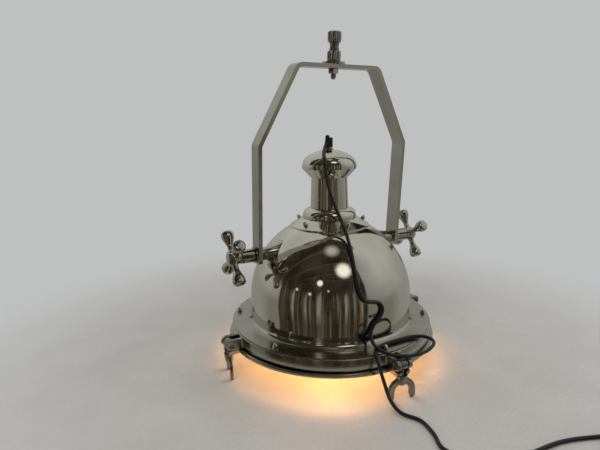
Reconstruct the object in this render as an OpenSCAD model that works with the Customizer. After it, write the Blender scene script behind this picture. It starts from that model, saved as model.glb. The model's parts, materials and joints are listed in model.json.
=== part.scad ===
// Ship's cargo pendant lamp: a spun dome on a bolted ring, standing on the wing nuts of its four swing bolts,
// with a tilting yoke that two cross handles clamp. Origin on the table under the middle, +X along the trunnions

/* [Dome] */
// Outer radius of the dome
dome_r = 156; // [150:1:162]
// Thickness of the spun sheet
sheet_t = 2; // [1.5:0.25:2.5]
// Height of the dome's centre above the flange
dome_centre_h = 42; // [36:1:48]
// Radius of the hollow curve between wall and flange
flare_r = 10; // [6:1:12]
// Width of the flange outside the wall
flange_w = 36; // [34:1:38]
// Radius of the hole under the collar
dome_hole_r = 44; // [42:1:46]

/* [Rim ring and bezel] */
// Height of the rim ring
ring_h = 20.5; // [18:0.5:24]
// Radial width of the rim ring's section
ring_w = 22; // [20:1:24]
// How far the rim ring stands out past the flange
ring_step = 2; // [1:0.5:4]
// Bevel round the rim ring's top edge
ring_bevel = 1.5; // [0.5:0.5:2]
// Thickness of the gasket
gasket_t = 1.5; // [1:0.5:3]
// How far the gasket keeps in from the rim ring's edge
gasket_inset = 5; // [3:1:7]
// How far the gasket reaches in past the rim ring's bore
gasket_lip = 6; // [4:1:7]
// Thickness of the bezel ring
bezel_t = 6.3; // [5:0.1:8]
// How far the bezel stands out past the flange
bezel_step = 8; // [6:1:10]
// Radial width of the bezel ring
bezel_w = 35; // [32:1:38]
// Thickness of the glass
glass_t = 4.6; // [4:0.1:5]
// Width of the bezel's lip under the glass
lip_w = 7; // [4:1:9]
// Rounding of the bezel's outer edge
bezel_round = 2.5; // [1:0.5:3]

/* [Flange nuts] */
// Number of flange studs
flange_nut_count = 6; // [4:1:12]
// Distance of the flange studs in from the flange's edge
flange_nut_inset = 9; // [8:1:12]
// Radius of the flange studs
flange_stud_r = 2.5; // [2:0.5:3]
// Width across flats of the flange nuts
flange_nut_af = 8; // [7:0.5:10]
// Depth of the flange studs in the ring
flange_stud_depth = 12; // [8:1:16]
// Thickness of the washers under the flange nuts
flange_washer_t = 1; // [0.8:0.1:1.2]

/* [Clamps] */
// Turn of the clamps round the axis
clamp_start = 2.5; // [0:0.5:5]
// Distance of the clevis pins out from the flange's edge
clevis_out = 23; // [20:1:26]
// Height of the clevis pins above the rim ring's underside
clevis_up = 9.5; // [9:0.5:12]
// Radius of the round end of each cheek
cheek_r = 9.5; // [8:0.5:9.5]
// Thickness of each cheek
cheek_t = 8; // [6:0.5:10]
// Thickness of the swing bolt's eye
eye_t = 13; // [10:0.5:16]
// Radius of the swing bolt's eye
eye_r = 8.5; // [7:0.5:9]
// Radius of the swing bolt's shank
bolt_r = 4; // [3:0.5:4.5]
// Radius of the clevis pins
clevis_pin_r = 3; // [2.5:0.5:4]
// Depth of the recess over each pin's end
pin_recess = 2; // [1:0.5:3]
// Radius of the recess over each pin's end
pin_recess_r = 5; // [4.5:0.5:6]
// Width of a bezel lug
lug_w = 27; // [24:1:30]
// How far a bezel lug reaches out past the pin
lug_out = 6; // [5:0.5:6.5]

/* [Wing nuts] */
// Turn of the wing nuts as they stand, from square
wing_turn = -11; // [-20:1:20]
// Height of the wing nuts from tip to bearing face
wing_nut_h = 43.4; // [40:0.2:50]
// Radius of the wing nut's hub at its bearing face
wing_hub_r = 9.5; // [8.5:0.5:11]
// Height of the wing nut's hub
wing_hub_h = 16; // [12:1:20]
// Half the span over both wings
wing_span_r = 25; // [22:1:28]
// Width of each wing
wing_w = 11.5; // [9:0.5:13]
// Thickness of the wings
wing_t = 5.5; // [4:0.5:7]
// How far the hub's face stands above the wings
wing_hub_rise = 5; // [4:0.5:7]
// How far a swing bolt's end shows below its nut's hub
bolt_show = 4; // [2:0.5:6]

/* [Collar, chimney and cap] */
// Radius of the collar's edge
collar_r = 75; // [72:1:82]
// Thickness of the collar's edge
collar_edge_t = 3; // [2:0.5:4]
// Rise of the collar's cone
collar_rise = 13; // [11:1:15]
// Radius where the collar's cone meets its bead
collar_cone_top_r = 54; // [52:1:58]
// Radius of the collar's round bead
bead_r = 15; // [12:1:16]
// Radius of the chimney tube at its foot
tube_r = 36; // [34:0.5:38]
// Radius of the chimney tube at its top
tube_top_r = 34; // [32:0.5:36]
// Length of the chimney tube that shows
tube_h = 58; // [45:1:80]
// Wall of the chimney tube and cap
tube_wall = 2; // [1.5:0.5:3]
// Radius of the cap
cap_r = 51.5; // [46:0.5:56]
// Height of the cap's undercut cone
cap_cone_h = 16; // [12:1:20]
// Height of the cap's round top above its widest place
cap_top_h = 31; // [29:1:36]
// Radius of the cap's rounded shoulder
cap_shoulder_r = 22; // [18:1:24]
// Number of collar nuts
collar_nut_count = 5; // [3:1:8]
// Distance of the collar studs in from the collar's edge
collar_nut_inset = 10; // [8:1:11]
// Radius of the collar studs
collar_stud_r = 2; // [1.5:0.5:2.5]
// Length of the collar studs below the cone
collar_stud_in = 12; // [12:1:16]
// Width across flats of the collar nuts
collar_nut_af = 7; // [6:0.5:8]
// Thickness of the round base of a collar nut
collar_nut_base = 0.8; // [0.6:0.1:1]

/* [Trunnions] */
// Height of the trunnions above the flange
trunnion_h = 140; // [136:1:146]
// Radius of the trunnion studs
trunnion_r = 6; // [5:0.5:7]
// Radius of a boss at the yoke
boss_tip_r = 11.5; // [10:0.5:13]
// Radius of a boss at the dome
boss_root_r = 21.5; // [19:0.5:24]
// Radius of a saddle pad inside the dome
pad_r = 15; // [13:0.5:17]
// Width across flats of the nuts inside the dome
stud_nut_af = 19; // [17:1:21]
// Thickness of the nuts inside the dome
stud_nut_t = 8; // [6:0.5:10]
// How far the trunnion studs show past the nuts inside the dome
stud_nut_show = 3; // [1:0.5:6]
// Radius of the clamp washers
clamp_washer_r = 15; // [14:0.5:18]
// Thickness of the clamp washers
clamp_washer_t = 3.4; // [2:0.2:5]

/* [Cross handles] */
// Length of the clamp sleeves
sleeve_l = 26; // [18:1:30]
// Radius of the clamp sleeves
sleeve_r = 12.5; // [11:0.5:14]
// Radius of a handle's hub
hub_r = 12; // [10.5:0.5:14]
// Length of a handle's hub
hub_l = 23; // [23:1:26]
// Radius of a handle over its lobes
handle_r = 52; // [48:1:58]
// Radius of a lobe
lobe_r = 11.5; // [9:0.5:12]
// Length of a lobe's rounded end
lobe_end = 7.5; // [5:0.5:9]
// Radius of an arm's waist
arm_waist_r = 5.2; // [4.5:0.1:6]
// Turn of the left handle's arms from level, degrees
handle_left_turn = 51; // [0:1:89]
// Turn of the right handle's arms from level, degrees
handle_right_turn = 60; // [0:1:89]

/* [Yoke] */
// How far inside the dome's radius the legs' inner faces stand
yoke_tuck = 10; // [8:1:12]
// Thickness of the yoke's bar
bar_t = 7; // [5:0.5:8]
// Width of the yoke's bar
bar_w = 32; // [28:1:36]
// Height of the lower bends above the trunnions
yoke_bend_h = 195; // [186:1:210]
// Height of the yoke's top above the trunnions
yoke_top_h = 331; // [320:1:350]
// Half the width of the yoke's top
yoke_top_half = 82; // [70:1:95]
// Radius inside the bends
bend_r = 9; // [6:1:14]
// How far the legs reach below the trunnions
leg_end = 16; // [14:1:18]
// Rounding of the legs' corners
leg_round = 7; // [3:1:9]
// Tilt of the yoke as it stands, forward of upright
yoke_tilt = 4.5; // [-30:0.5:30]

/* [Hanger] */
// How far the hanger stands off the middle of the bar, to the left
hanger_off = 5; // [0:0.5:8]
// Radius of the hanger stud
hanger_r = 5; // [4:0.5:6]
// Radius of the hanger washer
hanger_washer_r = 20; // [16:1:22]
// Thickness of the hanger washer
hanger_washer_t = 4; // [2.5:0.5:5]
// Radius of the knurled nuts
knurl_r = 12; // [11:0.1:14]
// Depth of the knurls
knurl_d = 0.6; // [0.4:0.1:0.8]
// Number of knurls
knurl_count = 30; // [20:1:36]
// Height of the lower knurled nut
lower_nut_h = 17.5; // [12:0.5:22]
// Radius of the neck
neck_r = 9; // [8:0.5:10]
// Height of the neck
neck_h = 13.5; // [8:0.5:20]
// Height of the upper knurled nut
upper_nut_h = 17.5; // [17.5:0.5:24]
// Depth of the threaded hole in the upper nut
socket_depth = 12; // [8:1:12]
// Width across flats of the nut under the bar
hex_af = 17; // [15:1:19]
// Thickness of the nut under the bar
hex_t = 8.5; // [6:0.5:10]
// How far the stud shows below its nut
stud_show = 10; // [6:1:14]
// How far the stud reaches up into the upper knurled nut
stud_in_nut = 4; // [2:0.5:5]

/* [Lamp holder and bulb] */
// Radius of the lamp holder
holder_r = 21; // [19:0.5:24]
// Length of the lamp holder
holder_l = 52; // [46:1:60]
// Radius of the bulb
bulb_r = 30; // [25:1:32]
// Distance from the holder to the bulb's centre
bulb_drop = 48; // [44:1:56]
// Radius of the bulb's screw cap
bulb_cap_r = 13.2; // [13:0.1:14]
// Length of the bulb's screw cap
bulb_cap_l = 24; // [20:1:26]
// Length of the threaded tube between cap and lamp holder
holder_tube_l = 150; // [130:1:170]
// Outer radius of the threaded tube
holder_tube_r = 5; // [4.5:0.5:6]
// Radius of the gland nipple
gland_r = 6.5; // [6.5:0.5:9]
// Height of the gland nipple
gland_h = 5; // [5:1:12]

/* [Cord] */
// Diameter of the cord and the inner lead
cord_d = 6; // [5:0.5:6.4]
// Height of the taped splice
splice_h = 20; // [18:1:30]
// Thickness of the tape round the splice
tape_t = 1; // [0.5:0.1:1.5]
// Radius of the coil's outer turns
coil_r = 40.5; // [36:0.5:44]
// Gap between neighbouring turns of the coil
coil_gap = 0.6; // [0.5:0.1:1.5]
// Width of the plug
plug_w = 34; // [30:1:40]
// Length of the plug's body
plug_l = 32; // [28:1:40]
// Length of the plug's tapered strain relief
plug_relief_l = 30; // [20:1:40]
// Distance between the plug's two pins
pin_spacing = 19; // [17:0.5:20]
// Diameter of a plug pin
plug_pin_d = 4.8; // [4:0.1:5]
// Length of a plug pin
plug_pin_l = 19; // [17:0.5:20]

/* [Hidden] */
$fn = 96;

// Clearances: between faces that move, in a running fit, at a seat inside one body, beside an eye in its fork
face_gap = 0.3;
run_gap = 0.06;
seat_gap = 0.05;
fork_gap = 0.5;
slot_gap = 0.75;
// In a thread, at the blind end of a hole, and how far a cut runs past the face that it cuts
thread_gap = 0.1;
end_gap = 0.5;
cut = 1;

// Where the four clamps and the studs lie round the axis
CLAMPS = [["right", clamp_start], ["rear", clamp_start + 90], ["left", clamp_start + 180],
    ["front", clamp_start + 270]];
flange_nut_turn = 30;
collar_nut_start = 270;

// Heights, from the table up
bezel_z = wing_nut_h + face_gap;
bezel_top = bezel_z + bezel_t;
ring_z = bezel_top + gasket_t;
ring_top = ring_z + ring_h;
flange_z = ring_top + sheet_t;
dome_z = flange_z + dome_centre_h;
trunnion_z = flange_z + trunnion_h;
pin_z = ring_z + clevis_up;

// Radii of the flange, rings, glass and clamps
flange_r = dome_r + flange_w;
ring_r = flange_r + ring_step;
ring_bore = ring_r - ring_w;
bezel_r = flange_r + bezel_step;
bezel_bore = bezel_r - bezel_w;
glass_r = bezel_bore + lip_w - face_gap;
lip_t = bezel_t - glass_t;
gasket_r = ring_r - gasket_inset;
clevis_r = flange_r + clevis_out;
flange_stud_at = flange_r - flange_nut_inset;

// Height of the dome's outside at a distance from the axis
function dome_at(r) = dome_z + sqrt(dome_r * dome_r - r * r);

// Collar: its cone, bead and the seat of the tube
collar_edge_z = dome_at(collar_r);
collar_edge_top = collar_edge_z + collar_edge_t;
cone_top_z = collar_edge_top + collar_rise;
collar_slope = atan2(collar_rise, collar_r - collar_cone_top_r);
bead_up = 4;
bead_z = cone_top_z + bead_up;
collar_top = bead_z + bead_r;
tube_seat = 12;
tube_ledge = 3;
collar_bore = tube_r - tube_ledge;
collar_stud_at = collar_r - collar_nut_inset;
collar_stud_z = collar_edge_top + collar_nut_inset * tan(collar_slope);

// Cap: neck, undercut cone, shoulder and round top
cap_z = collar_top + tube_h;
cap_neck_r = tube_top_r + tube_wall;
cap_spigot = 8;
cap_wide_z = cap_z + cap_cone_h;
shoulder_up = 4;
shoulder_z = cap_wide_z + shoulder_up;
shoulder_at = cap_r - cap_shoulder_r;
shoulder_from = -asin((shoulder_z - cap_wide_z) / cap_shoulder_r);
cap_ball_r = (pow(cap_top_h, 2) + pow(shoulder_at, 2) - pow(cap_shoulder_r, 2))
    / (2 * (cap_top_h - cap_shoulder_r));
cap_ball_z = shoulder_z + cap_top_h - cap_ball_r;
cap_blend = atan2(shoulder_z - cap_ball_z, shoulder_at);
cap_flat_r = 9;
cap_flat_z = cap_ball_z + sqrt(pow(cap_ball_r, 2) - pow(cap_flat_r, 2));

// Lamp holder and bulb, hung from the cap
holder_tube_up = 4;
holder_tube_bore = cord_d / 2 + 0.4;
holder_tube_z = cap_flat_z + holder_tube_up - holder_tube_l;
holder_screw_in = 6;
holder_top = holder_tube_z + holder_screw_in;
holder_z = holder_top - holder_l;
bulb_z = holder_z - bulb_drop;
holder_bore = bulb_cap_r + face_gap;
holder_socket = bulb_cap_l + 2;

// Trunnions: distances out from the middle
trunnion_rise = trunnion_h - dome_centre_h;
yoke_in = dome_r - yoke_tuck;
yoke_out = yoke_in + bar_t;
boss_tip_x = yoke_in - face_gap;
boss_root_x = sqrt(pow(dome_r, 2) - pow(trunnion_rise + boss_root_r, 2));
boss_lip = 3;
pad_edge_t = 4;
pad_x = sqrt(pow(dome_r - sheet_t, 2) - pow(trunnion_rise + pad_r, 2)) - pad_edge_t;
washer_x = yoke_out + face_gap;
sleeve_x = washer_x + clamp_washer_t + face_gap;
hub_x = sleeve_x + sleeve_l;
arm_x = hub_x + 0.55 * hub_l;
stud_in_x = pad_x - stud_nut_t - stud_nut_show;
hub_end_t = 6;
stud_out_x = hub_x + hub_l - hub_end_t;

// Handle arms: where the waist is and where the lobe is widest
waist_at = 20;
lobe_at = handle_r - lobe_end;

// Yoke: slope between the bends, and how far each bend eats into its neighbours
slope_dx = yoke_out - yoke_top_half;
slope_dz = yoke_top_h - yoke_bend_h;
slope_turn = atan2(slope_dx, slope_dz);
bend_out_r = bend_r + bar_t;
bend_low = bend_out_r * tan(slope_turn / 2);
bend_high = bend_out_r * tan((90 - slope_turn) / 2);

// Hanger: heights above the trunnions
hanger_washer_h = yoke_top_h + hanger_washer_t;
lower_nut_top = hanger_washer_h + face_gap + lower_nut_h;
neck_top = lower_nut_top + face_gap + neck_h;
hanger_stud_top = neck_top + stud_in_nut;
hex_h = yoke_top_h - bar_t - hex_t;
hanger_stud_low = hex_h - stud_show;
socket_wall_r = hanger_r + thread_gap;

// Cord: the splice stands on the gland
gland_top = cap_flat_z + gland_h;
splice_top = gland_top + splice_h;
lead_shift = cord_d / 2;
splice_w = 2 * cord_d + 2 * tape_t;
splice_t = cord_d + 2 * tape_t;
splice_turn = -30;

// The cord's way: over the cap, down the dome, a loop on the flange, past the front clamp, over the table
CORD_ROUTE = [
    [-14, -8, 399.5], [-24, -22, 393], [-32, -38, 382.5], [-34, -46, 362], [-31, -55, 325],
    [-19, -87, 260], [-23, -113, 228.5], [-29, -138, 191], [-28.5, -150, 166], [-22, -155.5, 153.5],
    [-8, -156.5, 149.5], [5, -157, 146], [11, -158.5, 134.5], [5, -160, 122], [-7.5, -160, 110.5],
    [-14, -160.5, 96.5], [-17, -169, 87.5], [-18, -187, 82], [-7, -205, 77], [15, -217, 74.5],
    [45, -222, 75], [72, -214.5, 77], [87, -200, 77.5], [84.5, -181.5, 77.5], [64, -171, 77.5],
    [35, -170, 77.5], [4, -172.5, 77.5], [-14, -177.5, 77.5], [-25.5, -191, 77], [-29.5, -205, 66],
    [-27, -215, 42], [-24, -231, 14.5], [-21, -251, 5.5], [-5, -278, 3.3], [-9, -310, 3.3],
    [-19, -340, 3.3], [5, -380, 3.3], [60, -398, 3.3], [138, -405, 3.3], [216, -431, 3.3]];
cord_exit = CORD_ROUTE[0];
cord_end = CORD_ROUTE[len(CORD_ROUTE) - 1];
cord_sides = 10;

// The taped cord from inside the splice to where it comes free
TAPED_ROUTE = [[-2.6, 1.5, splice_top - 1.5], [-2.8, 1.5, splice_top - 7], [-5.5, 0.5, splice_top - 14]];

// Coil: wound in on the table, then out again on top, beyond the cord's end
coil_step = cord_d + coil_gap;
coil_turns = 3.5;
coil_steps = 24;
coil_heading = let (d = cord_end - CORD_ROUTE[len(CORD_ROUTE) - 2]) atan2(d[1], d[0]);
coil_start = cord_end + cord_d * [cos(coil_heading), sin(coil_heading), 0];
coil_mid = coil_start - coil_r * [cos(coil_heading + 90), sin(coil_heading + 90), 0];
coil_end = coil_mid + [0, 0, coil_step] - coil_r * [cos(coil_heading + 90), sin(coil_heading + 90), 0];
plug_at = coil_end - cord_d * [cos(coil_heading), sin(coil_heading), 0];
plug_t = 2 * (plug_at[2] - face_gap);
plug_corner = 7;

// Points along an arc about [x, y]
function arc(x, y, r, from, to, steps) =
    [for (i = [0:steps]) let (a = from + (to - from) * i / steps) [x + r * cos(a), y + r * sin(a)]];

// A list of points from its end to its start
function backwards(points) = [for (i = [len(points) - 1:-1:0]) points[i]];

function unit(v) = v / norm(v);

// The part of a direction that lies square to another
function across(v, d) = unit(v - (v * d) * d);

// A point a share u of the way from p1 to p2 on a smooth curve through four points
function between(p0, p1, p2, p3, u) =
    let (
        t1 = sqrt(norm(p1 - p0)),
        t2 = t1 + sqrt(norm(p2 - p1)),
        t3 = t2 + sqrt(norm(p3 - p2)),
        t = t1 + u * (t2 - t1),
        a1 = p0 + (p1 - p0) * t / t1,
        a2 = p1 + (p2 - p1) * (t - t1) / (t2 - t1),
        a3 = p2 + (p3 - p2) * (t - t2) / (t3 - t2),
        b1 = a1 + (a2 - a1) * t / t2,
        b2 = a2 + (a3 - a2) * (t - t1) / (t3 - t1)
    )
    b1 + (b2 - b1) * (t - t1) / (t2 - t1);

// Points along a smooth curve through a list of points
function smooth(points, steps) =
    let (
        last = len(points) - 1,
        p = concat([2 * points[0] - points[1]], points, [2 * points[last] - points[last - 1]])
    )
    concat(
        [for (i = [0:last - 1], k = [0:steps - 1]) between(p[i], p[i + 1], p[i + 2], p[i + 3], k / steps)],
        [points[last]]);

// Where a line of points heads at each of them, with its first and last heading given
function headings(points, first, last) =
    let (n = len(points))
    [for (i = [0:n - 1]) i == 0 ? first : i == n - 1 ? last : unit(points[i + 1] - points[i - 1])];

// A tube along points, of a radius at each, whose end faces are square to the first and last heading
module tube(points, radii, sides, first, last) {
    n = len(points);
    d = headings(points, first, last);
    u = [for (i = 0, v = across([0.3, 0.9, 0.1], d[0]); i < n; i = i + 1, v = across(v, d[min(i, n - 1)])) v];
    ring_points = [for (i = [0:n - 1], k = [0:sides - 1])
        let (a = 360 * k / sides, w = cross(d[i], u[i]))
        points[i] + radii[i] * (cos(a) * u[i] + sin(a) * w)];
    walls = [for (i = [0:n - 2], k = [0:sides - 1])
        let (a = i * sides + k, b = i * sides + (k + 1) % sides)
        each [[a, b + sides, b], [a, a + sides, b + sides]]];
    ends = [for (k = [1:sides - 2])
        each [[0, k, k + 1], [(n - 1) * sides, n * sides - k, n * sides - k - 1]]];
    polyhedron(ring_points, concat(walls, ends));
}

// A slice of a disc about [x, y] between two angles less than a half turn apart
module pie(x, y, r, from, to) {
    translate([x, y])
        intersection() {
            circle(r);
            polygon(concat([[0, 0]], arc(0, 0, 1.6 * r, from, to, 4)));
        }
}

// A slice of a ring between two radii
module ring_slice(x, y, r_out, r_in, from, to) {
    difference() {
        pie(x, y, r_out, from, to);
        translate([x, y]) circle(r_in);
    }
}

// A flat ring lying at a height
module flat_ring(r_out, r_in, z, h) {
    translate([0, 0, z])
        difference() {
            cylinder(r = r_out, h = h);
            translate([0, 0, -cut]) cylinder(r = r_in, h = h + 2 * cut);
        }
}

// Children drawn round the clamp's pivot: x points out, y along the pin, z up from the table
module at_clamp(angle) {
    rotate([0, 0, angle]) translate([clevis_r, 0, 0]) children();
}

// Children drawn along the trunnion axis: their z runs out along +X or, with side -1, along -X
module on_trunnion(side) {
    translate([0, 0, trunnion_z]) rotate([0, 90 * side, 0]) children();
}

// Children drawn upright above the trunnion axis, tilted as the yoke stands
module on_yoke() {
    translate([0, 0, trunnion_z]) rotate([yoke_tilt, 0, 0]) children();
}

// Children drawn above the trunnion axis about the hanger's own axis
module on_hanger() {
    on_yoke() translate([-hanger_off, 0, 0]) children();
}

// Children repeated round the axis
module around(count, start) {
    for (i = [0:count - 1]) rotate([0, 0, start + i * 360 / count]) children();
}

// Children drawn square to the collar's cone at one stud
module on_collar() {
    translate([collar_stud_at, 0, collar_stud_z]) rotate([0, collar_slope, 0]) children();
}

// The hole of one collar stud, cut clear through the cone and the dome
module collar_stud_hole() {
    translate([0, 0, -2 * collar_stud_in]) cylinder(r = collar_stud_r + seat_gap, h = 3 * collar_stud_in);
}

module hex_bar(af, h) {
    cylinder(d = af / cos(30), h = h, $fn = 6);
}

// An acorn nut on its seat at z 0, hollow for a stud
module acorn_nut(af, stud_r) {
    hex_h = 0.55 * af;
    ball_r = 0.46 * af;
    difference() {
        union() {
            hex_bar(af, hex_h);
            translate([0, 0, hex_h]) sphere(ball_r, $fn = 32);
        }
        translate([0, 0, -cut]) cylinder(r = stud_r + seat_gap, h = cut + hex_h);
        translate([0, 0, -2 * ball_r]) cylinder(r = af, h = 2 * ball_r);
    }
}

module dome_profile() {
    wall_z = flange_z + flare_r;
    flare_x = dome_r + flare_r;
    ring_slice(0, dome_z, dome_r, dome_r - sheet_t, 0, 90);
    translate([dome_r - sheet_t, wall_z]) square([sheet_t, dome_z - wall_z]);
    ring_slice(flare_x, wall_z, flare_r + sheet_t, flare_r, 180, 270);
    translate([flare_x, flange_z - sheet_t]) square([flange_r - flare_x, sheet_t]);
}

module dome() {
    color("gainsboro")
        difference() {
            rotate_extrude() dome_profile();
            translate([0, 0, dome_z]) cylinder(r = dome_hole_r, h = 2 * dome_r);
            on_trunnion(1) translate([0, 0, -2 * dome_r]) cylinder(r = trunnion_r + seat_gap, h = 4 * dome_r);
            around(flange_nut_count, flange_nut_turn)
                translate([flange_stud_at, 0, ring_top - cut])
                    cylinder(r = flange_stud_r + seat_gap, h = sheet_t + 2 * cut);
            around(collar_nut_count, collar_nut_start)
                on_collar() collar_stud_hole();
        }
}

module rim_ring() {
    cheek_in = eye_t / 2 + fork_gap;
    cheek_root = 4;
    arm_l = clevis_r - ring_r + cheek_root;
    color("silver")
        difference() {
            union() {
                // Turned with the clamps, so that the ring's seam stays clear of their cheeks
                rotate([0, 0, clamp_start]) rotate_extrude()
                    difference() {
                        translate([ring_bore, ring_z]) square([ring_w, ring_h]);
                        translate([ring_r, ring_top]) rotate(45) square(ring_bevel * sqrt(2), center = true);
                    }
                for (c = CLAMPS)
                    for (side = [-1, 1])
                        at_clamp(c[1])
                            translate([0, side * (cheek_in + cheek_t / 2), 0]) {
                                translate([-arm_l, -cheek_t / 2, pin_z - clevis_up])
                                    cube([arm_l, cheek_t, clevis_up + cheek_r]);
                                translate([0, 0, pin_z])
                                    rotate([90, 0, 0]) cylinder(r = cheek_r, h = cheek_t, center = true);
                            }
            }
            for (c = CLAMPS) at_clamp(c[1]) translate([0, 0, pin_z]) rotate([90, 0, 0]) {
                cylinder(r = clevis_pin_r + seat_gap, h = 2 * (cheek_in + cheek_t), center = true);
                for (side = [-1, 1])
                    translate([0, 0, side * (cheek_in + cheek_t + (cut - pin_recess) / 2)])
                        cylinder(r = pin_recess_r, h = pin_recess + cut, center = true);
            }
            around(flange_nut_count, flange_nut_turn)
                translate([flange_stud_at, 0, ring_top - flange_stud_depth])
                    cylinder(r = flange_stud_r + seat_gap, h = flange_stud_depth + cut);
        }
}

module gasket() {
    color("dimgray") flat_ring(gasket_r, ring_bore - gasket_lip, bezel_top, gasket_t);
}

module glass() {
    color("lightcyan", 0.5) translate([0, 0, bezel_z + lip_t]) cylinder(r = glass_r, h = glass_t);
}

// A bezel lug's outline: the slot lets the bolt's shank swing out
module lug_outline() {
    lug_root = 6;
    lug_in = clevis_r - bezel_r + lug_root;
    corner = 3;
    difference() {
        union() {
            translate([-lug_in, -lug_w / 2]) square([lug_in + lug_out - corner, lug_w]);
            translate([-lug_in, corner - lug_w / 2]) square([lug_in + lug_out, lug_w - 2 * corner]);
            for (side = [-1, 1]) translate([lug_out - corner, side * (lug_w / 2 - corner)]) circle(corner);
        }
        circle(bolt_r + slot_gap);
        translate([0, -bolt_r - slot_gap]) square([lug_out + cut, 2 * (bolt_r + slot_gap)]);
    }
}

module bezel() {
    // The nut's face swings about the pin, so the lug's underside past the pin keeps inside that arc
    nut_arc = pin_z - bezel_z;
    color("silver")
        difference() {
            union() {
                rotate([0, 0, clamp_start]) rotate_extrude() {
                    translate([bezel_bore, bezel_z]) square([bezel_w - bezel_round, bezel_t]);
                    translate([bezel_bore, bezel_z]) square([bezel_w, bezel_t - bezel_round]);
                    translate([bezel_r - bezel_round, bezel_top - bezel_round]) circle(bezel_round);
                }
                for (c = CLAMPS)
                    at_clamp(c[1])
                        intersection() {
                            translate([0, 0, bezel_z]) linear_extrude(bezel_t) lug_outline();
                            union() {
                                translate([-2 * lug_w, -lug_w, 0]) cube([2 * lug_w, 2 * lug_w, 2 * pin_z]);
                                translate([0, 0, pin_z])
                                    rotate([90, 0, 0]) cylinder(r = nut_arc, h = 2 * lug_w, center = true);
                            }
                        }
            }
            translate([0, 0, bezel_z + lip_t]) cylinder(r = glass_r + face_gap, h = glass_t + cut);
        }
}

module clevis_pins() {
    pin_l = eye_t + 2 * (fork_gap + cheek_t - pin_recess);
    color("lightgray")
        for (c = CLAMPS)
            at_clamp(c[1])
                translate([0, 0, pin_z])
                    rotate([90, 0, 0]) cylinder(r = clevis_pin_r, h = pin_l, center = true);
}

module swing_bolt(angle) {
    tip_z = wing_nut_h - wing_hub_h - bolt_show;
    color("gainsboro")
        at_clamp(angle)
            difference() {
                union() {
                    translate([0, 0, pin_z]) rotate([90, 0, 0]) cylinder(r = eye_r, h = eye_t, center = true);
                    translate([0, 0, tip_z + bolt_r / 2])
                        cylinder(r = bolt_r, h = pin_z - tip_z - bolt_r / 2);
                    translate([0, 0, tip_z]) cylinder(r1 = bolt_r / 2, r2 = bolt_r, h = bolt_r / 2);
                }
                translate([0, 0, pin_z])
                    rotate([90, 0, 0])
                        cylinder(r = clevis_pin_r + run_gap, h = eye_t + 2 * cut, center = true);
            }
}

// The wings: an arch over the bolt whose two legs end in round tips on the table
module wing_outline() {
    arch_z = wing_nut_h - wing_hub_rise - wing_span_r;
    tip_r = wing_w / 2;
    intersection() {
        ring_slice(0, arch_z, wing_span_r, wing_span_r - wing_w, 0, 90);
        square([2 * wing_span_r, wing_nut_h]);
    }
    translate([wing_span_r - wing_w, tip_r]) square([wing_w, arch_z - tip_r]);
    translate([wing_span_r - tip_r, tip_r]) circle(tip_r);
}

module wing_nut(angle) {
    hub_z = wing_nut_h - wing_hub_h;
    taper = 2;
    color("gainsboro")
        at_clamp(angle)
            difference() {
                union() {
                    translate([0, 0, hub_z])
                        cylinder(r1 = wing_hub_r - taper, r2 = wing_hub_r, h = wing_hub_h);
                    for (side = [0, 180])
                        rotate([90, 0, 90 + side + wing_turn])
                            linear_extrude(wing_t, center = true) wing_outline();
                }
                translate([0, 0, hub_z - wing_hub_h])
                    cylinder(r = bolt_r + run_gap, h = 3 * wing_hub_h);
            }
}

module flange_studs() {
    foot_z = ring_top - flange_stud_depth + end_gap;
    stud_top = flange_z + flange_washer_t + 0.5 * flange_nut_af;
    color("silver")
        around(flange_nut_count, flange_nut_turn)
            translate([flange_stud_at, 0, foot_z]) cylinder(r = flange_stud_r, h = stud_top - foot_z);
}

module flange_washers() {
    color("silver")
        around(flange_nut_count, flange_nut_turn)
            translate([flange_stud_at, 0, 0])
                flat_ring(0.7 * flange_nut_af, flange_stud_r + seat_gap, flange_z, flange_washer_t);
}

module flange_nuts() {
    color("gainsboro")
        around(flange_nut_count, flange_nut_turn)
            translate([flange_stud_at, 0, flange_z + flange_washer_t])
                acorn_nut(flange_nut_af, flange_stud_r);
}

module collar() {
    // The bead's round face starts here, inside the cone
    bead_from = -60;
    color("gainsboro")
        difference() {
            rotate_extrude()
                difference() {
                    union() {
                        polygon([[collar_bore, dome_z], [collar_r, dome_z], [collar_r, collar_edge_top],
                            [collar_cone_top_r, cone_top_z], [tube_r, bead_z], [collar_bore, bead_z]]);
                        pie(tube_r, bead_z, bead_r, bead_from, 90);
                        translate([collar_bore, bead_z]) square([tube_r - collar_bore, bead_r]);
                    }
                    translate([0, dome_z]) circle(dome_r + seat_gap);
                    translate([0, collar_top - tube_seat]) square([tube_r + seat_gap, 2 * tube_seat]);
                }
            around(collar_nut_count, collar_nut_start)
                on_collar() collar_stud_hole();
        }
}

module collar_studs() {
    color("silver")
        around(collar_nut_count, collar_nut_start)
            on_collar()
                translate([0, 0, -collar_stud_in])
                    cylinder(r = collar_stud_r, h = collar_stud_in + collar_nut_base + 0.5 * collar_nut_af);
}

module collar_nuts() {
    color("gainsboro")
        around(collar_nut_count, collar_nut_start)
            on_collar() {
                flat_ring(0.62 * collar_nut_af, collar_stud_r + seat_gap, seat_gap, collar_nut_base);
                translate([0, 0, collar_nut_base + seat_gap]) acorn_nut(collar_nut_af, collar_stud_r);
            }
}

module chimney_tube() {
    foot_z = collar_top - tube_seat + seat_gap;
    color("gainsboro")
        rotate_extrude()
            polygon([[tube_r - tube_wall, foot_z], [tube_r, foot_z], [tube_r, collar_top], [tube_top_r, cap_z],
                [tube_top_r, cap_z + cap_spigot], [tube_top_r - tube_wall, cap_z + cap_spigot],
                [tube_top_r - tube_wall, cap_z], [tube_r - tube_wall, collar_top]]);
}

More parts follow.
